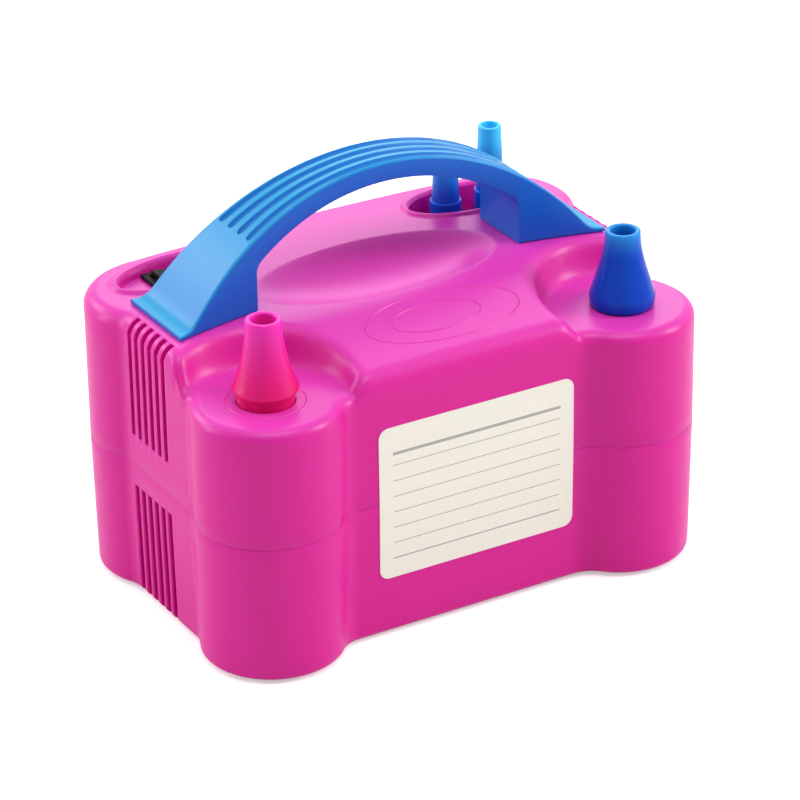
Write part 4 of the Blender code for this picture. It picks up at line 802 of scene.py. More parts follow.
def top_loops():
    """Lines of points along the steps, ports, scoop, pockets and engraved lines."""
    loops = []
    for port, bore in zip(PORTS, PORT_BORES):
        loops += [circle(port, STEP_RADIUS + level, STEP_POINTS) for level in STEP_LEVELS]
        loops += [circle(port, radius, PORT_POINTS) for radius in (bore, bore + 2 * LIP_ROUND)]
    loops += [oval((0, SCOOP_Y), share * SCOOP_HALF_LENGTH, share * SCOOP_HALF_WIDTH, SCOOP_POINTS)
              for share in SCOOP_SHARES]
    for side in (-1, 1):
        centre = (side * POCKET_X, POCKET_Y)
        loops += [oval(centre, POCKET_HALF_LENGTH, POCKET_HALF_WIDTH, POCKET_POINTS, level)
                  for level in POCKET_LEVELS]
    for level in (-LINE_HALF_WIDTH, 0, LINE_HALF_WIDTH):
        loops += [oval(*mark, count, level) for mark, count in zip(OVAL_MARKS, MARK_POINTS)]
        loops.append(circle(PORTS[0], RING_LINE_RADIUS + level, RING_POINTS))
    return loops


def engraving(x, y):
    """Depth of the engraved lines at a place on the deck or the left platform."""
    distances = [nearest(x, y, PORTS[:1]) - RING_LINE_RADIUS]
    distances += [oval_distance(x, y, *mark) for mark in OVAL_MARKS]
    return LINE_DEPTH * max(0.0, 1 - min(abs(distance) for distance in distances) / LINE_HALF_WIDTH)


def upper_shell():
    rows, levels = upper_rows()
    first = levels.index(UPPER_VENT_LOW)
    last = max(k for k, level in enumerate(levels) if isinstance(level, float) and level <= VENT_TOP_INSET)
    fence = [(x, y) for x, y, _ in rows[-1]]
    plan = sheet_plan(fence, case_outline(DECK_EDGE_RADIUS + FENCE_GAP), top_loops())

    def open_cell(row, a, b):
        return first <= row < last and in_vent(a, b, END_PANEL_X - VENT_TOP_INSET)

    def open_hole(x, y):
        return any(math.hypot(x - px, y - py) < bore for (px, py), bore in zip(PORTS, PORT_BORES))

    def height(x, y):
        return top_height(x, y, DECK_EDGE_RADIUS) - engraving(x, y)

    shell = shell_skin("upper_case", rows, plan, open_cell, open_hole, height, False)
    give_thickness(shell, lambda place: place.z > PARTING_Z + 2 * SEAM_ROUND)
    mark_upward(shell)
    return dress(shell, "case", "case_magenta", "upper_shell")


upper_case = upper_shell()
print("upper case:", len(upper_case.data.polygons), "faces")

# %% [markdown]
# ## Lower shell
# The lower half is a tub with a slight draft and a small rounded edge at the base. Its vents run off the
# lower edge. The underside has four seats for the rubber feet and four deep holes for the case screws.

# %% Lower shell
FOOT_HEIGHT = 0.0012
BASE_DRAFT = 0.001
BASE_EDGE_RADIUS = 0.0028
BASE_EDGE_STEPS = 6
LOWER_VENT_HIGH = 0.0485
LOWER_LEVELS = (0.012, 0.024, 0.036, LOWER_VENT_HIGH, 0.053)
FOOT_RADIUS = 0.008
FOOT_SEAT = 0.001
SCREW_HOLE_RADIUS = 0.0044
SCREW_HOLE_DEPTH = 0.012
SCREW_PLACES = ((-0.041, -0.0497), (0.041, -0.0497), (-0.026, 0.0625), (0.026, 0.0625))
FOOT_PLACES = tuple((x, y) for x in (-LOBE_X, LOBE_X) for y in (-LOBE_Y, LOBE_Y))
SEAT_RUN = 0.00025
SEAT_POINTS = 64
HOLE_POINTS = 48


def base_draft(z):
    return BASE_DRAFT * (PARTING_Z - z) / (PARTING_Z - FOOT_HEIGHT)


def lower_rows():
    stops = []
    for k in range(BASE_EDGE_STEPS + 1):
        turn = math.pi / 2 * k / BASE_EDGE_STEPS
        inset = BASE_EDGE_RADIUS * (1 - math.sin(turn))
        stops.append((FOOT_HEIGHT + BASE_EDGE_RADIUS * (1 - math.cos(turn)), inset))
    stops += [(z, 0.0) for z in LOWER_LEVELS]
    high = PARTING_Z - SEAM_GAP
    stops += [(high - SEAM_ROUND * (1 - share), SEAM_ROUND * share ** 2) for share in (0.0, 0.5, 1.0)]
    rows = [[(x, y, z) for x, y in case_outline(base_draft(z) + inset)] for z, inset in stops]
    return rows, [z for z, inset in stops]


def floor_height(x, y):
    z = FOOT_HEIGHT
    for places, radius, depth in ((FOOT_PLACES, FOOT_RADIUS + SEAT_RUN, FOOT_SEAT),
                                  (SCREW_PLACES, SCREW_HOLE_RADIUS, SCREW_HOLE_DEPTH)):
        z += depth * min(1.0, max(0.0, (radius - nearest(x, y, places)) / SEAT_RUN))
    return z


def lower_shell():
    rows, levels = lower_rows()
    top = levels.index(LOWER_VENT_HIGH)
    loops = [circle(place, FOOT_RADIUS + run, SEAT_POINTS) for place in FOOT_PLACES for run in (SEAT_RUN, 0)]
    loops += [circle(place, SCREW_HOLE_RADIUS - run, HOLE_POINTS)
              for place in SCREW_PLACES for run in (0, SEAT_RUN)]
    fence = [(x, y) for x, y, _ in rows[0]]
    plan = sheet_plan(fence, case_outline(2 * BASE_EDGE_RADIUS), loops)
    panel = END_PANEL_X - BASE_DRAFT - BASE_EDGE_RADIUS

    def open_cell(row, a, b):
        return row < top and in_vent(a, b, panel)

    shell = shell_skin("lower_case", rows, plan, open_cell, lambda x, y: False, floor_height, True)
    give_thickness(shell, lambda place: place.z < PARTING_Z - 2 * SEAM_ROUND)
    return dress(shell, "case", "case_magenta", "lower_shell")


lower_case = lower_shell()
print("lower case:", len(lower_case.data.polygons), "faces")

# %% [markdown]
# ## Handle
# The handle is one blue moulding: an arch whose ends flare into thin wide toes on the deck, with a straight
# inner wall at each foot. Four grooves with rounded ends run along its top. It is lofted from cross
# sections along its length, so the taper, the flare and the grooves all follow from the section's rule.

# %% Handle
HANDLE_Y = 0.0135
HANDLE_TOP_Z = 0.1668
HANDLE_ARCH_RADIUS = 0.1075
HANDLE_SPAN_RADIUS = 0.0925
HANDLE_THICKNESS = 0.0078
HANDLE_FOOT_X = 0.0583
HANDLE_CORNER = 0.0028
HANDLE_TOE_X = 0.0945
HANDLE_TOE_THICKNESS = 0.0012
HANDLE_TOE_BLEND = 0.004
HANDLE_MID_HALF_WIDTH = 0.0115
HANDLE_TOE_HALF_WIDTH = 0.0204
HANDLE_TAPER = 2.2
HANDLE_EDGE = 0.0014
HANDLE_BASE_EDGE = 0.0005
EDGE_SHARE = 0.45
BASE_EDGE_SHARE = 0.3
CLEARANCE = 0.0003
GROOVE_LINES = (-0.72, -0.24, 0.24, 0.72)
GROOVE_WIDTH = 0.0036
GROOVE_DEPTH = 0.002
GROOVE_FULLNESS = 2.6
GROOVE_END_X = 0.060
TOP_SAMPLES = 96
ARCH_STATIONS = 40
CORNER_STATIONS = 14
FOOT_STATIONS = 10
FOOT_STEP = 0.0002
TOE_START_X = 0.0604
TOE_STATIONS = 34
FOOT_WALL_GAP = 0.00005


def handle_top(x):
    arch = HANDLE_TOP_Z - HANDLE_ARCH_RADIUS + math.sqrt(HANDLE_ARCH_RADIUS ** 2 - x ** 2)
    lip = deck_height(x, HANDLE_Y) + CLEARANCE + HANDLE_TOE_THICKNESS
    rise = arch - lip
    return lip + (rise + math.hypot(rise, HANDLE_TOE_BLEND)) / 2


def handle_underside(x):
    crown = HANDLE_TOP_Z - HANDLE_THICKNESS
    span = crown - HANDLE_SPAN_RADIUS + math.sqrt(HANDLE_SPAN_RADIUS ** 2 - x ** 2)
    inside = HANDLE_FOOT_X - abs(x)
    return span if inside >= HANDLE_CORNER else span - edge_drop(inside, HANDLE_CORNER)


def handle_half_width(x):
    share = (abs(x) / HANDLE_TOE_X) ** HANDLE_TAPER
    return HANDLE_MID_HALF_WIDTH + (HANDLE_TOE_HALF_WIDTH - HANDLE_MID_HALF_WIDTH) * share


def groove_drop(x, y, half):
    """Depth of the grooves at a place across the top; their ends are round."""
    reach = GROOVE_WIDTH / 2
    beyond = max(0.0, abs(x) - (GROOVE_END_X - reach))
    if beyond >= reach:
        return 0.0
    narrowed = math.sqrt(reach ** 2 - beyond ** 2)
    away = min(abs(y - line * half) for line in GROOVE_LINES)
    return GROOVE_DEPTH * max(0.0, 1 - (away / narrowed) ** GROOVE_FULLNESS)


def handle_section(x, low):
    half = handle_half_width(x)
    top = handle_top(x)
    edge = min(HANDLE_EDGE, (top - low) * EDGE_SHARE)
    base = min(HANDLE_BASE_EDGE, (top - low) * BASE_EDGE_SHARE)
    side = arc((half - base, low + base), base, -math.pi / 2, 0, 3)
    side += arc((half - edge, top - edge), edge, 0, math.pi / 2, 6)
    points = list(side)
    for k in range(1, TOP_SAMPLES):
        y = (half - edge) * (1 - 2 * k / TOP_SAMPLES)
        points.append((y, top - groove_drop(x, y, half)))
    points += [(-y, z) for y, z in side[-2::-1]]
    return [(x, HANDLE_Y + y, z) for y, z in points]


def handle_stations():
    """Places along the right half of the handle, each with the height of the underside there."""
    start = HANDLE_FOOT_X - HANDLE_CORNER
    xs = [start * k / ARCH_STATIONS for k in range(ARCH_STATIONS)]
    turns = [math.pi / 2 * k / CORNER_STATIONS for k in range(CORNER_STATIONS)]
    xs += [HANDLE_FOOT_X - HANDLE_CORNER * math.cos(turn) for turn in turns]
    xs.append(HANDLE_FOOT_X - FOOT_WALL_GAP)
    fine = [HANDLE_FOOT_X + k * FOOT_STEP for k in range(FOOT_STATIONS)]
    fine += [TOE_START_X + (HANDLE_TOE_X - TOE_START_X) * (k / TOE_STATIONS) for k in range(TOE_STATIONS + 1)]
    return [(x, handle_underside(x)) for x in xs] + [(x, deck_height(x, HANDLE_Y) + CLEARANCE) for x in fine]


def handle():
    right = handle_stations()
    stations = [(-x, low) for x, low in reversed(right[1:])] + right
    sections = [handle_section(x, low) for x, low in stations]
    count = len(sections[0])
    points = [p for section in sections for p in section]
    faces = [list(range(count)), list(range(len(points) - count, len(points)))]
    for start in range(0, len(points) - count, count):
        faces += ring_quads(start, start + count, count)
    made = closed_object("carry_handle", points, faces, HANDLE_BLUE)
    mark_upward(made)
    return dress(made, "case", "handle_blue", "handle")


grip = handle()
print("handle:", len(grip.data.polygons), "faces, top at", HANDLE_TOP_Z)

# %% [markdown]
# ## Nozzles
# All nozzles are turned shapes. The pink one stands on a narrower neck, because it is pressed down to blow.
# The blue one is a bell with a straight band at its foot and pulls off. The two slim spares stand on pegs
# in the rear pocket, each with a wider collar. Each profile is one closed line, spun round in small steps.

# %% Nozzles
TIP_RADIUS = 0.0069
BASE_RADIUS = 0.0129
BORE_RADIUS = 0.0048
PRESS_BASE_RADIUS = 0.0126
NECK_RADIUS = 0.0110
NECK_LOW = 0.0984
SLEEVE_RADIUS = 0.008
PRESS_SHOULDER = PLATFORM_Z + 0.0048
PRESS_TIP = PRESS_SHOULDER + 0.0285
PRESS_SKIRT = PRESS_SHOULDER + 0.0012
PRESS_FLARE = 2.0
REMOVABLE_LOW = PLATFORM_Z + CLEARANCE
REMOVABLE_TIP = REMOVABLE_LOW + 0.031
REMOVABLE_BAND = REMOVABLE_LOW + 0.0044
BAND_DRAFT = 0.0004
BELL_SWELL = 0.7
SOCKET_TOP = PLATFORM_Z + 0.0063
SOCKET_RADIUS = 0.0103
FLARE_STEPS = 28
FLARE_FROM_TIP = 0.001
LIP_RUN = 0.004
LIP_ROUNDING = 0.0009
SKIRT_ROUNDING = 0.0008
BAND_ROUNDING = 0.0010


def lip_points(bore, outer, tip, rounding=LIP_ROUNDING):
    """The rounded rim of a tip, from the bore over the top to the outside."""
    return rounded_profile([(bore, tip - LIP_RUN, 0), (bore, tip, rounding), (outer, tip, rounding),
                            (outer, tip - LIP_RUN, 0)], 5)[1:-1]


def flare_points(base_radius, tip, low, rule):
    """The outside from the tip down to the widest place; the rule gives the share of the widening."""
    top = tip - FLARE_FROM_TIP
    shares = [k / FLARE_STEPS for k in range(1, FLARE_STEPS + 1)]
    return [(TIP_RADIUS + (base_radius - TIP_RADIUS) * rule(share), top + (low - top) * share)
            for share in shares]


def press_nozzle():
    sleeve_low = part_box("press_nozzle")[0].z
    profile = [(SLEEVE_RADIUS, sleeve_low), (BORE_RADIUS, sleeve_low)]
    profile += lip_points(BORE_RADIUS, TIP_RADIUS, PRESS_TIP)
    profile += flare_points(PRESS_BASE_RADIUS, PRESS_TIP, PRESS_SKIRT, lambda share: share ** PRESS_FLARE)
    profile += rounded_profile([(PRESS_BASE_RADIUS, PRESS_SKIRT, 0),
                                (PRESS_BASE_RADIUS, PRESS_SHOULDER, SKIRT_ROUNDING),
                                (NECK_RADIUS, PRESS_SHOULDER, 0)], 4)[1:]
    profile += [(NECK_RADIUS, NECK_LOW), (SLEEVE_RADIUS, NECK_LOW)]
    made = turned("press_nozzle_cone", profile[::-1], PORTS[0], NOZZLE_PINK)
    return dress(made, "press", "nozzle_pink", "press_nozzle")


def removable_nozzle():
    profile = [(SOCKET_RADIUS, REMOVABLE_LOW), (SOCKET_RADIUS, SOCKET_TOP),
               (BORE_RADIUS, SOCKET_TOP + SOCKET_RADIUS - BORE_RADIUS)]
    profile += lip_points(BORE_RADIUS, TIP_RADIUS, REMOVABLE_TIP)
    profile += flare_points(BASE_RADIUS, REMOVABLE_TIP, REMOVABLE_BAND,
                            lambda share: share ** 2 * (1 + BELL_SWELL * (1 - share)))
    profile += rounded_profile([(BASE_RADIUS, REMOVABLE_BAND, 0),
                                (BASE_RADIUS - BAND_DRAFT, REMOVABLE_LOW, BAND_ROUNDING),
                                (SOCKET_RADIUS, REMOVABLE_LOW, 0)], 4)[1:-1]
    made = turned("removable_nozzle_bell", profile[::-1], PORTS[1], NOZZLE_BLUE)
    return dress(made, "removable", "handle_blue", "removable_nozzle")


SPARE_TIP_RADIUS = 0.0047
SPARE_ROOT_RADIUS = 0.0056
SPARE_COLLAR_RADIUS = 0.0064
SPARE_COLLAR_HEIGHT = 0.0158
SPARE_SPACING = 0.0208
SPARE_BORE = 0.0033
SPARE_TIP_BORE = 0.0018
SPARE_MOUTH_RADIUS = 0.0032
SPARE_MOUTH_DEPTH = 0.006
SPARE_LIP_HEIGHT = 0.003
SPARE_ROUNDING = 0.0006
SPARE_ROOT_ROUNDING = 0.0002
SPARE_FOOT_ROUNDING = 0.0005
PEG_ROOM = 0.014
SPARES = (("near", POCKET_X - SPARE_SPACING / 2, 0.036, "inner"),
          ("far", POCKET_X + SPARE_SPACING / 2, 0.0434, "outer"))


def spare_nozzle(place, x, length, side):
    low = pocket_floor(1) + CLEARANCE
    collar = low + SPARE_COLLAR_HEIGHT
    tip = low + length
    profile = [(SPARE_BORE, low), (SPARE_BORE, low + PEG_ROOM), (SPARE_TIP_BORE, low + 1.5 * PEG_ROOM),
               (SPARE_TIP_BORE, tip - SPARE_MOUTH_DEPTH)]
    profile += lip_points(SPARE_MOUTH_RADIUS, SPARE_TIP_RADIUS, tip, SPARE_ROUNDING)
    profile += rounded_profile([(SPARE_TIP_RADIUS, tip - SPARE_LIP_HEIGHT, 0),
                                (SPARE_ROOT_RADIUS, collar, SPARE_ROOT_ROUNDING),
                                (SPARE_COLLAR_RADIUS, collar, SPARE_ROUNDING),
                                (SPARE_COLLAR_RADIUS, low, SPARE_FOOT_ROUNDING),
                                (SPARE_BORE, low, 0)], 4)[1:-1]
    made = turned(f"spare_nozzle_{place}", profile[::-1], (x, POCKET_Y), SPARE_BLUE, 64)
    return dress(made, f"spare_{side}", "handle_blue", f"spare_nozzle_{side}")


made = [press_nozzle(), removable_nozzle()] + [spare_nozzle(*spare) for spare in SPARES]
print("nozzles:", [(piece.name, len(piece.data.polygons)) for piece in made])

# %% [markdown]
# ## Label
# The front panel carries a large film label with round corners. A heading bar and some ruled lines are
# printed on it, drawn by the material from Object coordinates. The film bends with the panel's slight draft.

# %% Label
LABEL_LEFT_X = -0.040
LABEL_RIGHT_X = 0.0465
LABEL_LOW_Z = 0.0253
LABEL_HIGH_Z = 0.0893
LABEL_CORNER = 0.0042
LABEL_CORNER_STEPS = 10
LABEL_LIFT = 0.00032
LABEL_GAP = 0.00004
RULE_MARGIN = 0.006
RULE_PITCH = 0.0066
RULE_WIDTH = 0.00034
FIRST_RULE_Z = LABEL_LOW_Z + 0.0082
RULES_Z = (LABEL_LOW_Z + 0.008, LABEL_HIGH_Z - 0.0145)
BAR_Z = (LABEL_HIGH_Z - 0.0118, LABEL_HIGH_Z - 0.0106)
FIBRE_SCALE = 700
FIBRE_STRENGTH = 0.05
FIBRE_HEIGHT = 0.0003
FIBRE_GLOSS = 0.12
FILM_ROUGHNESS = 0.36


def label_print(tree):
    """Mask of the printed bar and rules."""
    parts = object_parts(tree)
    up = parts["Z"]

    def between(value, low, high):
        return add_math(tree, "MULTIPLY", add_math(tree, "GREATER_THAN", value, low),
                        add_math(tree, "LESS_THAN", value, high))

    wide = between(parts["X"], LABEL_LEFT_X + RULE_MARGIN, LABEL_RIGHT_X - RULE_MARGIN)
    phase = add_math(tree, "MODULO", add_math(tree, "SUBTRACT", up, FIRST_RULE_Z), RULE_PITCH)
    rules = add_math(tree, "MULTIPLY", add_math(tree, "LESS_THAN", phase, RULE_WIDTH), wide)
    rules = add_math(tree, "MULTIPLY", rules, between(up, *RULES_Z))
    return add_math(tree, "MAXIMUM", rules, add_math(tree, "MULTIPLY", wide, between(up, *BAR_Z)))


def label_film():
    made, tree, shader = new_material("label_film")
    fibre = add_noise(tree, object_place(tree), FIBRE_SCALE, 4)
    paper = add_mix(tree, fibre, shade((243, 240, 228)), shade((236, 232, 218)))
    gloss = add_math(tree, "ADD", add_math(tree, "MULTIPLY", fibre, FIBRE_GLOSS), FILM_ROUGHNESS)
    feed(tree, shader.inputs, {"Base Color": add_mix(tree, label_print(tree), paper, shade((168, 164, 160))),
                               "Roughness": gloss,
                               "Normal": add_bump(tree, fibre, FIBRE_STRENGTH, FIBRE_HEIGHT)})
    return made


def label():
    left, right = LABEL_LEFT_X + LABEL_CORNER, LABEL_RIGHT_X - LABEL_CORNER
    low, high = LABEL_LOW_Z + LABEL_CORNER, LABEL_HIGH_Z - LABEL_CORNER
    edge = []
    for k, middle in enumerate(((right, low), (right, high), (left, high), (left, low))):
        edge += arc(middle, LABEL_CORNER, (k - 1) * math.pi / 2, k * math.pi / 2, LABEL_CORNER_STEPS)
    right_fold = LABEL_CORNER_STEPS + 1
    left_fold = 3 * right_fold + 1
    edge.insert(right_fold, (LABEL_RIGHT_X, PARTING_Z))
    edge.insert(left_fold, (LABEL_LEFT_X, PARTING_Z))
    count = len(edge)
    points = [(x, base_draft(min(z, PARTING_Z)) - FRONT_PANEL_Y - lift, z)
              for lift in (LABEL_LIFT, LABEL_GAP) for x, z in edge]
    above = list(range(right_fold, left_fold + 1))
    below = list(range(left_fold, count)) + list(range(right_fold + 1))
    faces = [above, below, [k + count for k in above[::-1]], [k + count for k in below[::-1]]]
    made = closed_object("front_label", points, faces + ring_quads(0, count, count), label_film())
    return dress(made, "case", "label_film", "rating_label")


plate = label()
print("label:", [round(v, 4) for v in plate.dimensions])

# %% [markdown]
# ## Switch
# A black rocker sits in the rear left pocket. The rocker is a bar with a dished top that tilts about a pin,
# and its frame is a thin flange. The bar is a side profile drawn out to its width, the frame is a copy of
# the CAD shape, and a Bevel rounds the edges of both.

# %% Switch
SWITCH_EDGE = 0.0006
ROCKER_RISE = 0.0028
ROCKER_DIP = 0.0014
ROCKER_FOOT_SHARE = 0.55
ROCKER_TOP_STEPS = 20
BEVEL_ANGLE = math.radians(30)
FLAT_ANGLE = math.radians(2)


def bevelled(piece, width):
    add_modifier(piece, "edge", "BEVEL", limit_method="ANGLE", angle_limit=BEVEL_ANGLE, width=width,
                 segments=BEVEL_SEGMENTS)
    return finish_modifiers(piece)


def rocker():
    low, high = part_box("switch_rocker")
    middle_x, half = (low.x + high.x) / 2, (high.x - low.x) / 2
    foot = half * ROCKER_FOOT_SHARE
    profile = [(-foot, low.z), (foot, low.z), (half, high.z - ROCKER_RISE)]
    for k in range(ROCKER_TOP_STEPS + 1):
        share = 1 - 2 * k / ROCKER_TOP_STEPS
        profile.append((half * share, high.z - ROCKER_DIP * (1 - share ** 2)))
    profile.append((-half, high.z - ROCKER_RISE))
    points = [(middle_x + x, y, z) for y in (low.y, high.y) for x, z in profile]
    count = len(profile)
    faces = [list(range(count)), list(range(count, 2 * count))[::-1]] + ring_quads(0, count, count)
    made = bevelled(closed_object("rocker_bar", points, faces, SWITCH_BLACK), SWITCH_EDGE)
    return dress(made, "rocker", "black_plastic", "switch_rocker")


def node_copy(name, node_name, material):
    """A closed copy of a CAD node's shape, which may be changed where the node itself may not."""
    made = link_object(name, frame["nodes"][node_name].data.copy())
    face_out(made)
    made.data.materials.clear()
    made.data.materials.append(material)
    return made


def rounded_copy(name, node_name, material, slot, edge):
    """A CAD node's own shape, with smooth round faces and with its edges rounded."""
    made = node_copy(name, node_name, material)
    with editing(made.data) as bm:
        bmesh.ops.dissolve_limit(bm, angle_limit=FLAT_ANGLE, verts=bm.verts, edges=bm.edges)
    return dress(bevelled(made, edge), "case", slot, node_name)


made = [rocker(),
        rounded_copy("switch_frame", "switch_housing", SWITCH_BLACK, "black_plastic", SWITCH_EDGE / 2)]
print("switch:", [piece.name for piece in made])

# %% [markdown]
# ## Outlet spigot and pegs
# Some things show only when a nozzle is lifted off. The blue nozzle pushes onto a short tube that stands up
# through the right platform, and each slim spare stands on a peg in its pocket. The tube keeps its CAD
# shape with rounded edges. The pegs belong to the upper shell, and they are turned with round tops.

# %% Outlet spigot and pegs
SPIGOT_EDGE = 0.0005
PEG_RADIUS = 0.003
PEG_ROOT = pocket_floor(1) - 0.0006
PEG_TOP = pocket_floor(1) + 0.012
PEG_ROUND = 0.0008


def peg(name, x):
    profile = rounded_profile([(0, PEG_ROOT, 0), (PEG_RADIUS, PEG_ROOT, 0), (PEG_RADIUS, PEG_TOP, PEG_ROUND),
                               (0, PEG_TOP, 0)], 4)
    made = turned(name, profile, (x, POCKET_Y), CASE_MAGENTA, 48)
    return dress(made, "case", "case_magenta", "upper_shell")


made = [rounded_copy("outlet_spigot", "outlet_tube_right", CASE_MAGENTA, "case_magenta", SPIGOT_EDGE)]
made += [peg(f"spare_peg_{place}", x) for place, x, length, side in SPARES]
print("under the nozzles:", [piece.name for piece in made])

# %% [markdown]
# ## Feet and screws
# The underside repeats two small pieces four times: a rubber foot and a case screw. One Geometry Nodes tree
# puts a copy of a piece on every point of a mesh, realises the copies and sets their material, so each set
# is one mesh.

# %% Copies on points
COPY_SOCKETS = (("INPUT", "Places", "Geometry"), ("INPUT", "Piece", "Object"),
                ("INPUT", "Finish", "Material"), ("OUTPUT", "Copies", "Geometry"))


def copies_tree():
    tree, start, end = new_group("copies_on_points", "GeometryNodeTree", COPY_SOCKETS)
    piece, spread, real, finish = (tree.nodes.new("GeometryNode" + kind) for kind in (
        "ObjectInfo", "InstanceOnPoints", "RealizeInstances", "SetMaterial"))
    feed(tree, piece.inputs, {"Object": start["Piece"]})
    feed(tree, spread.inputs, {"Points": start["Places"], "Instance": piece.outputs["Geometry"]})
    feed(tree, real.inputs, {"Geometry": spread.outputs["Instances"]})
    feed(tree, finish.inputs, {"Geometry": real.outputs["Geometry"], "Material": start["Finish"]})
    feed(tree, end, {"Copies": finish.outputs["Geometry"]})
    return tree


COPIES = copies_tree()


def copies(name, places, original, material):
    holder = to_object(name, [(x, y, 0) for x, y in places], [], material)
    modifier = add_modifier(holder, "copies", "NODES", node_group=COPIES)
    sockets = {item.name: item.identifier for item in COPIES.interface.items_tree if item.in_out == "INPUT"}
    modifier[sockets["Piece"]] = original
    modifier[sockets["Finish"]] = material
    finish_modifiers(holder)
    bpy.data.objects.remove(original)
    return holder


# %% Rubber and steel finishes
STREAK_STRETCH = (0.05, 1, 1)
STREAK_SHARE = 0.25
STREAK_MEAN = 0.12
TINT_SCALE = 60
TINT_SHARE = 0.86


def metal(name, colour, roughness, streak_scale):
    """Bare or plated metal: fine streaks along X in the roughness, and a slight tint that drifts."""
    made, tree, shader = new_material(name)
    place = object_place(tree)
    stretch = tree.nodes.new("ShaderNodeMapping")
    feed(tree, stretch.inputs, {"Vector": place, "Scale": STREAK_STRETCH})
    streak = add_noise(tree, stretch.outputs["Vector"], streak_scale, 4)
    streak = add_math(tree, "MULTIPLY", streak, STREAK_SHARE)
    deep = shade(tuple(c * TINT_SHARE for c in colour))
    tint = add_mix(tree, add_noise(tree, place, TINT_SCALE, 3), shade(colour), deep)
    feed(tree, shader.inputs, {"Base Color": tint, "Metallic": 1.0,
                               "Roughness": add_math(tree, "ADD", streak, roughness - STREAK_MEAN)})
    return made


ZINC = metal("zinc_steel", (198, 198, 194), 0.34, 900)
RUBBER = plastic("foot_rubber", (38, 36, 38), (28, 27, 28), 0.72, 0.2, 0.25)
print("finishes:", ZINC.name, RUBBER.name)

# %% Feet and case screws
CORNERS = [f"{end}_{side}" for end in ("front", "rear") for side in ("left", "right")]
SCREW_HEAD_RADIUS = 0.0038
SCREW_HEAD_HEIGHT = 0.0026
SCREW_SHANK_RADIUS = 0.002
SCREW_POINT = 0.003
SCREW_CROWN = 0.0008
SCREW_ROUNDING = 0.0004
FOOT_ROUNDING = 0.0007
SLOT_SIZE = (SCREW_HEAD_RADIUS * 1.1, 0.0009, 0.0032, 1)


def rubber_feet():
    low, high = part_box("foot_front_left")
    profile = rounded_profile([(0, low.z, 0), (FOOT_RADIUS, low.z, FOOT_ROUNDING), (FOOT_RADIUS, high.z, 0),
                               (0, high.z, 0)], 4)
    feet = copies("rubber_feet", FOOT_PLACES, turned("foot_pattern", profile, (0, 0), RUBBER, 48), RUBBER)
    return dress(feet, "case", "rubber", *(f"foot_{corner}" for corner in CORNERS))


def cut_slot(screw, low, turn):
    """Cuts one arm of the cross slot into the head."""
    mesh = bpy.data.meshes.new("screw_slot")
    with editing(mesh) as bm:
        bmesh.ops.create_cube(bm, size=1)
        bm.transform(Matrix.Translation((0, 0, low)) @ Matrix.Rotation(turn, 4, "Z")
                     @ Matrix.Diagonal(SLOT_SIZE))
    cutter = link_object("screw_slot", mesh)
    add_modifier(screw, "slot", "BOOLEAN", object=cutter, operation="DIFFERENCE", solver="EXACT")
    finish_modifiers(screw)
    bpy.data.objects.remove(cutter)


def case_screws():
    low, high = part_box("case_screw_front_left")
    head_top = low.z + SCREW_HEAD_HEIGHT
    profile = rounded_profile([(0, low.z, 0), (SCREW_HEAD_RADIUS * 0.8, low.z, SCREW_ROUNDING),
                               (SCREW_HEAD_RADIUS, low.z + SCREW_CROWN, SCREW_ROUNDING),
                               (SCREW_HEAD_RADIUS, head_top, 0), (SCREW_SHANK_RADIUS, head_top, 0),
                               (SCREW_SHANK_RADIUS, high.z - SCREW_POINT, 0), (0, high.z, 0)], 3)
    screw = turned("screw_pattern", profile, (0, 0), ZINC, 40)
    for turn in (0, math.pi / 2):
        cut_slot(screw, low.z, turn)
    screws = copies("case_screws", SCREW_PLACES, screw, ZINC)
    return dress(screws, "case", "zinc_steel", *(f"case_screw_{corner}" for corner in CORNERS))


made = [rubber_feet(), case_screws()]
print("underside:", [(piece.name, len(piece.data.polygons)) for piece in made])

# %% [markdown]
# ## Cord gland
# The rear panel has a black gland where a supply cord would leave. It is a grommet: a flange in a shallow
# seat, a neck through the wall and a flange inside. It is turned upright and then laid on its side.

# %% Cord gland
GLAND_NECK_RADIUS = 0.0045
GLAND_BORE_RADIUS = 0.003
GLAND_INNER_FLANGE = 0.003
GLAND_OUTER_FLANGE = 0.0012
GLAND_CHAMFER = 0.0008
GLAND_INNER_ROUNDING = 0.0005
GLAND_OUTER_ROUNDING = 0.0006


def cord_gland():
    low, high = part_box("cord_gland")
    flange = (high.x - low.x) / 2
    inner, outer = low.y + GLAND_INNER_FLANGE, high.y - GLAND_OUTER_FLANGE
    profile = rounded_profile([(GLAND_BORE_RADIUS, low.y, 0), (flange, low.y, GLAND_INNER_ROUNDING),
                               (flange, inner, GLAND_INNER_ROUNDING), (GLAND_NECK_RADIUS, inner, 0),
                               (GLAND_NECK_RADIUS, outer, 0), (flange, outer, 0),
                               (flange, high.y, GLAND_OUTER_ROUNDING),
                               (GLAND_BORE_RADIUS + GLAND_CHAMFER, high.y, GLAND_OUTER_ROUNDING),
                               (GLAND_BORE_RADIUS, high.y - GLAND_CHAMFER, 0)], 4)
    made = turned("cord_grommet", profile, (0, 0), SWITCH_BLACK, 64)
    centre = ((low.x + high.x) / 2, 0, (low.z + high.z) / 2)
    made.data.transform(Matrix.Translation(centre) @ Matrix.Rotation(-math.pi / 2, 4, "X"))
    return dress(made, "case", "black_plastic", "cord_gland")


gland = cord_gland()
print("gland:", [round(v, 4) for v in gland.dimensions])

# %% [markdown]
# ## Hidden pieces
# The motor, fans and wiring stay as the CAD made them, because the case hides all but glimpses through the
# vents. Each still gets a finish of its own kind: bare steel, enamelled copper, cast alloy, grey moulding
# or carbon.

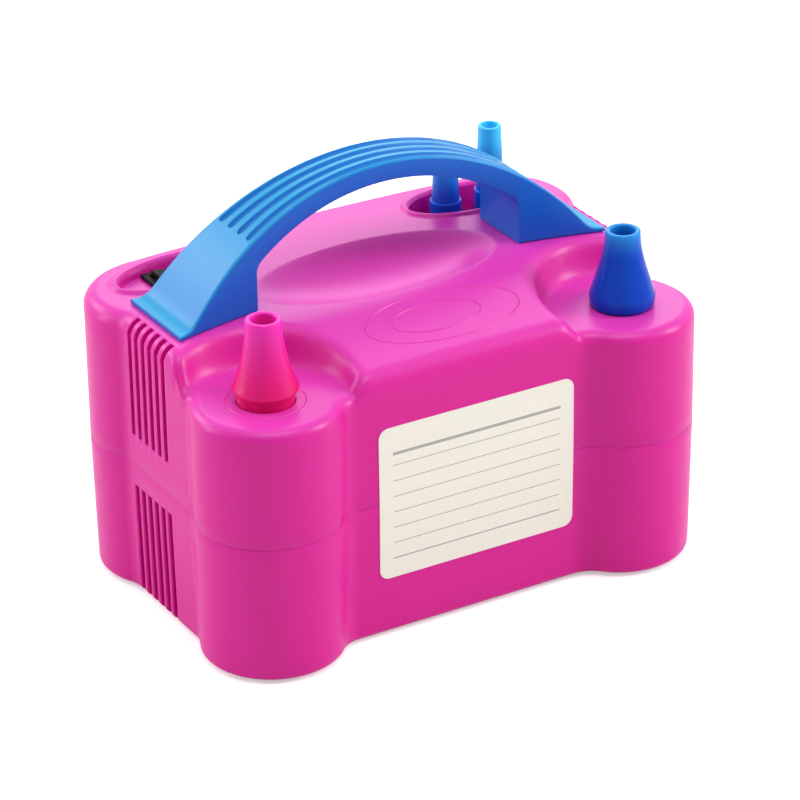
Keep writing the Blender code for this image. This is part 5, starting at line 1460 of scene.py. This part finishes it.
# %% Finishes for the CAD nodes that stay
STEEL = metal("plain_steel", (150, 152, 156), 0.42, 700)
COPPER = metal("enamelled_copper", (190, 112, 66), 0.36, 2400)
ALLOY = metal("cast_alloy", (176, 178, 180), 0.5, 240)
BRASS = metal("stamped_brass", (208, 172, 98), 0.36, 900)
FAN_GREY = plastic("fan_grey", (150, 150, 147), (138, 138, 135), 0.5, 0.1, 0.05)
CARBON = plastic("pressed_carbon", (48, 48, 50), (38, 38, 40), 0.68, 0.15, 0.2)
CAPACITOR = plastic("capacitor_case", (214, 178, 52), (202, 164, 40), 0.35)
LEAD_COVER = plastic("lead_cover", (104, 70, 48), (92, 60, 40), 0.45)
SLOT_FINISHES = {"case_magenta": CASE_MAGENTA, "nozzle_pink": NOZZLE_PINK, "handle_blue": HANDLE_BLUE,
                 "black_plastic": SWITCH_BLACK, "rubber": RUBBER, "zinc_steel": ZINC, "steel": STEEL,
                 "copper": COPPER, "bracket_alloy": ALLOY, "carbon": CARBON, "fan_grey": FAN_GREY,
                 "tab_brass": BRASS, "capacitor_case": CAPACITOR, "lead_cover": LEAD_COVER}
for part in frame["record"]["subparts"]:
    node = frame["nodes"][part["node"]]
    if not node.hide_render:
        for place in node.material_slots:
            place.material = SLOT_FINISHES[part["material_slot"]]
print("CAD nodes shown:", sum(not node.hide_render for node in frame["nodes"].values()))

# %% [markdown]
# ## Return spring
# A coil spring lifts the press nozzle again after it is pushed down. It stands between two bodies that move
# towards each other, so it can ride on neither alone: it stays on the case.

# %% Return spring
SPRING_SMOOTH_ANGLE = math.radians(60)


def return_spring():
    made = node_copy("return_spring", "press_nozzle_spring", STEEL)
    soften(made, SPRING_SMOOTH_ANGLE)
    dress(made, "case", "steel", "press_nozzle_spring")
    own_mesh(made)
    return made


spring = return_spring()
print("spring:", [round(v, 4) for v in spring.dimensions])

# %% [markdown]
# ## Floor, light and background
# The photograph looks taken in a white tent that is open towards the camera: the faces that look at the
# camera are the deepest in colour. So the world is white to the camera and to reflections and a plain grey
# to everything else, with less of it from the open side. Two lamps behind give the pale sheen on the deck
# and the handle. One at the left lights that end panel, one at the right and in front lights the front
# panel and reaches under the handle, and a weaker one hangs above. The floor keeps a soft shadow.

# %% Floor
FLOOR_REACH = 6
FLOOR_GREY = (0.86, 0.86, 0.86, 1)
FLOOR_GLOW = 0.45
WHITE = (1, 1, 1, 1)


def stage_floor():
    material, tree, shader = new_material("pale_floor")
    rays = tree.nodes.new("ShaderNodeLightPath")
    glow = add_math(tree, "MULTIPLY", rays.outputs["Is Camera Ray"], FLOOR_GLOW)
    feed(tree, shader.inputs, {"Base Color": FLOOR_GREY, "Roughness": 0.9, "Specular IOR Level": 0.0,
                               "Emission Color": WHITE, "Emission Strength": glow})
    corners = [(x * FLOOR_REACH, y * FLOOR_REACH, 0) for x, y in ((-1, -1), (1, -1), (1, 1), (-1, 1))]
    to_object("floor", corners, [(0, 1, 2, 3)], material)


stage_floor()

# %% World
TENT_OPENING = (-0.50, -0.86, 0)
TENT_GREY = 0.81
OPENING_SHADE = 0.78


def white_world():
    """A white tent, as grey light on the object, with less of it from the side where the camera stands."""
    world = bpy.data.worlds.new("white_studio")
    world.use_nodes = True
    scene.world = world
    tree = world.node_tree
    rays = tree.nodes.new("ShaderNodeLightPath").outputs
    seen = add_math(tree, "MAXIMUM", rays["Is Glossy Ray"], rays["Is Transmission Ray"])
    seen = add_math(tree, "MAXIMUM", rays["Is Camera Ray"], seen)
    toward = tree.nodes.new("ShaderNodeVectorMath")
    toward.operation = "DOT_PRODUCT"
    feed(tree, toward.inputs, {0: tree.nodes.new("ShaderNodeTexCoord").outputs["Generated"], 1: TENT_OPENING})
    opening = add_math(tree, "MAXIMUM", toward.outputs["Value"], 0.0)
    grey = add_math(tree, "SUBTRACT", TENT_GREY, add_math(tree, "MULTIPLY", opening, OPENING_SHADE))
    strength = add_math(tree, "MAXIMUM", seen, grey)
    feed(tree, tree.nodes["Background"].inputs, {"Color": WHITE, "Strength": strength})


white_world()
scene.view_settings.view_transform = "Standard"

# %% Lamps
LAMPS = (("overhead", (-0.1, -0.5, 1.35), (0, 0, 0.1), (0.8, 0.6), 6.5),
         ("back_left", (-0.86, 1.54, 1.05), (0, 0, 0.12), (0.8, 0.7), 10),
         ("back_right", (0.9, 1.5, 1.3), (0, 0, 0.12), (1.1, 1.3), 8),
         ("left_side", (-1.5, 0.9, 0.65), (0, 0, 0.07), (0.5, 1.0), 8),
         ("right_front", (1.35, -0.85, 0.9), (0, 0, 0.09), (0.45, 0.8), 14))


def lamp(name, place, target, size, power):
    light = bpy.data.lights.new(name, "AREA")
    light.shape = "RECTANGLE"
    light.size, light.size_y = size
    light.energy = power
    made = link_object(name, light)
    aim = (Vector(target) - Vector(place)).to_track_quat("-Z", "Y")
    made.matrix_world = Matrix.Translation(place) @ aim.to_matrix().to_4x4()
    return made


print("lamps:", [lamp(*values).name for values in LAMPS])
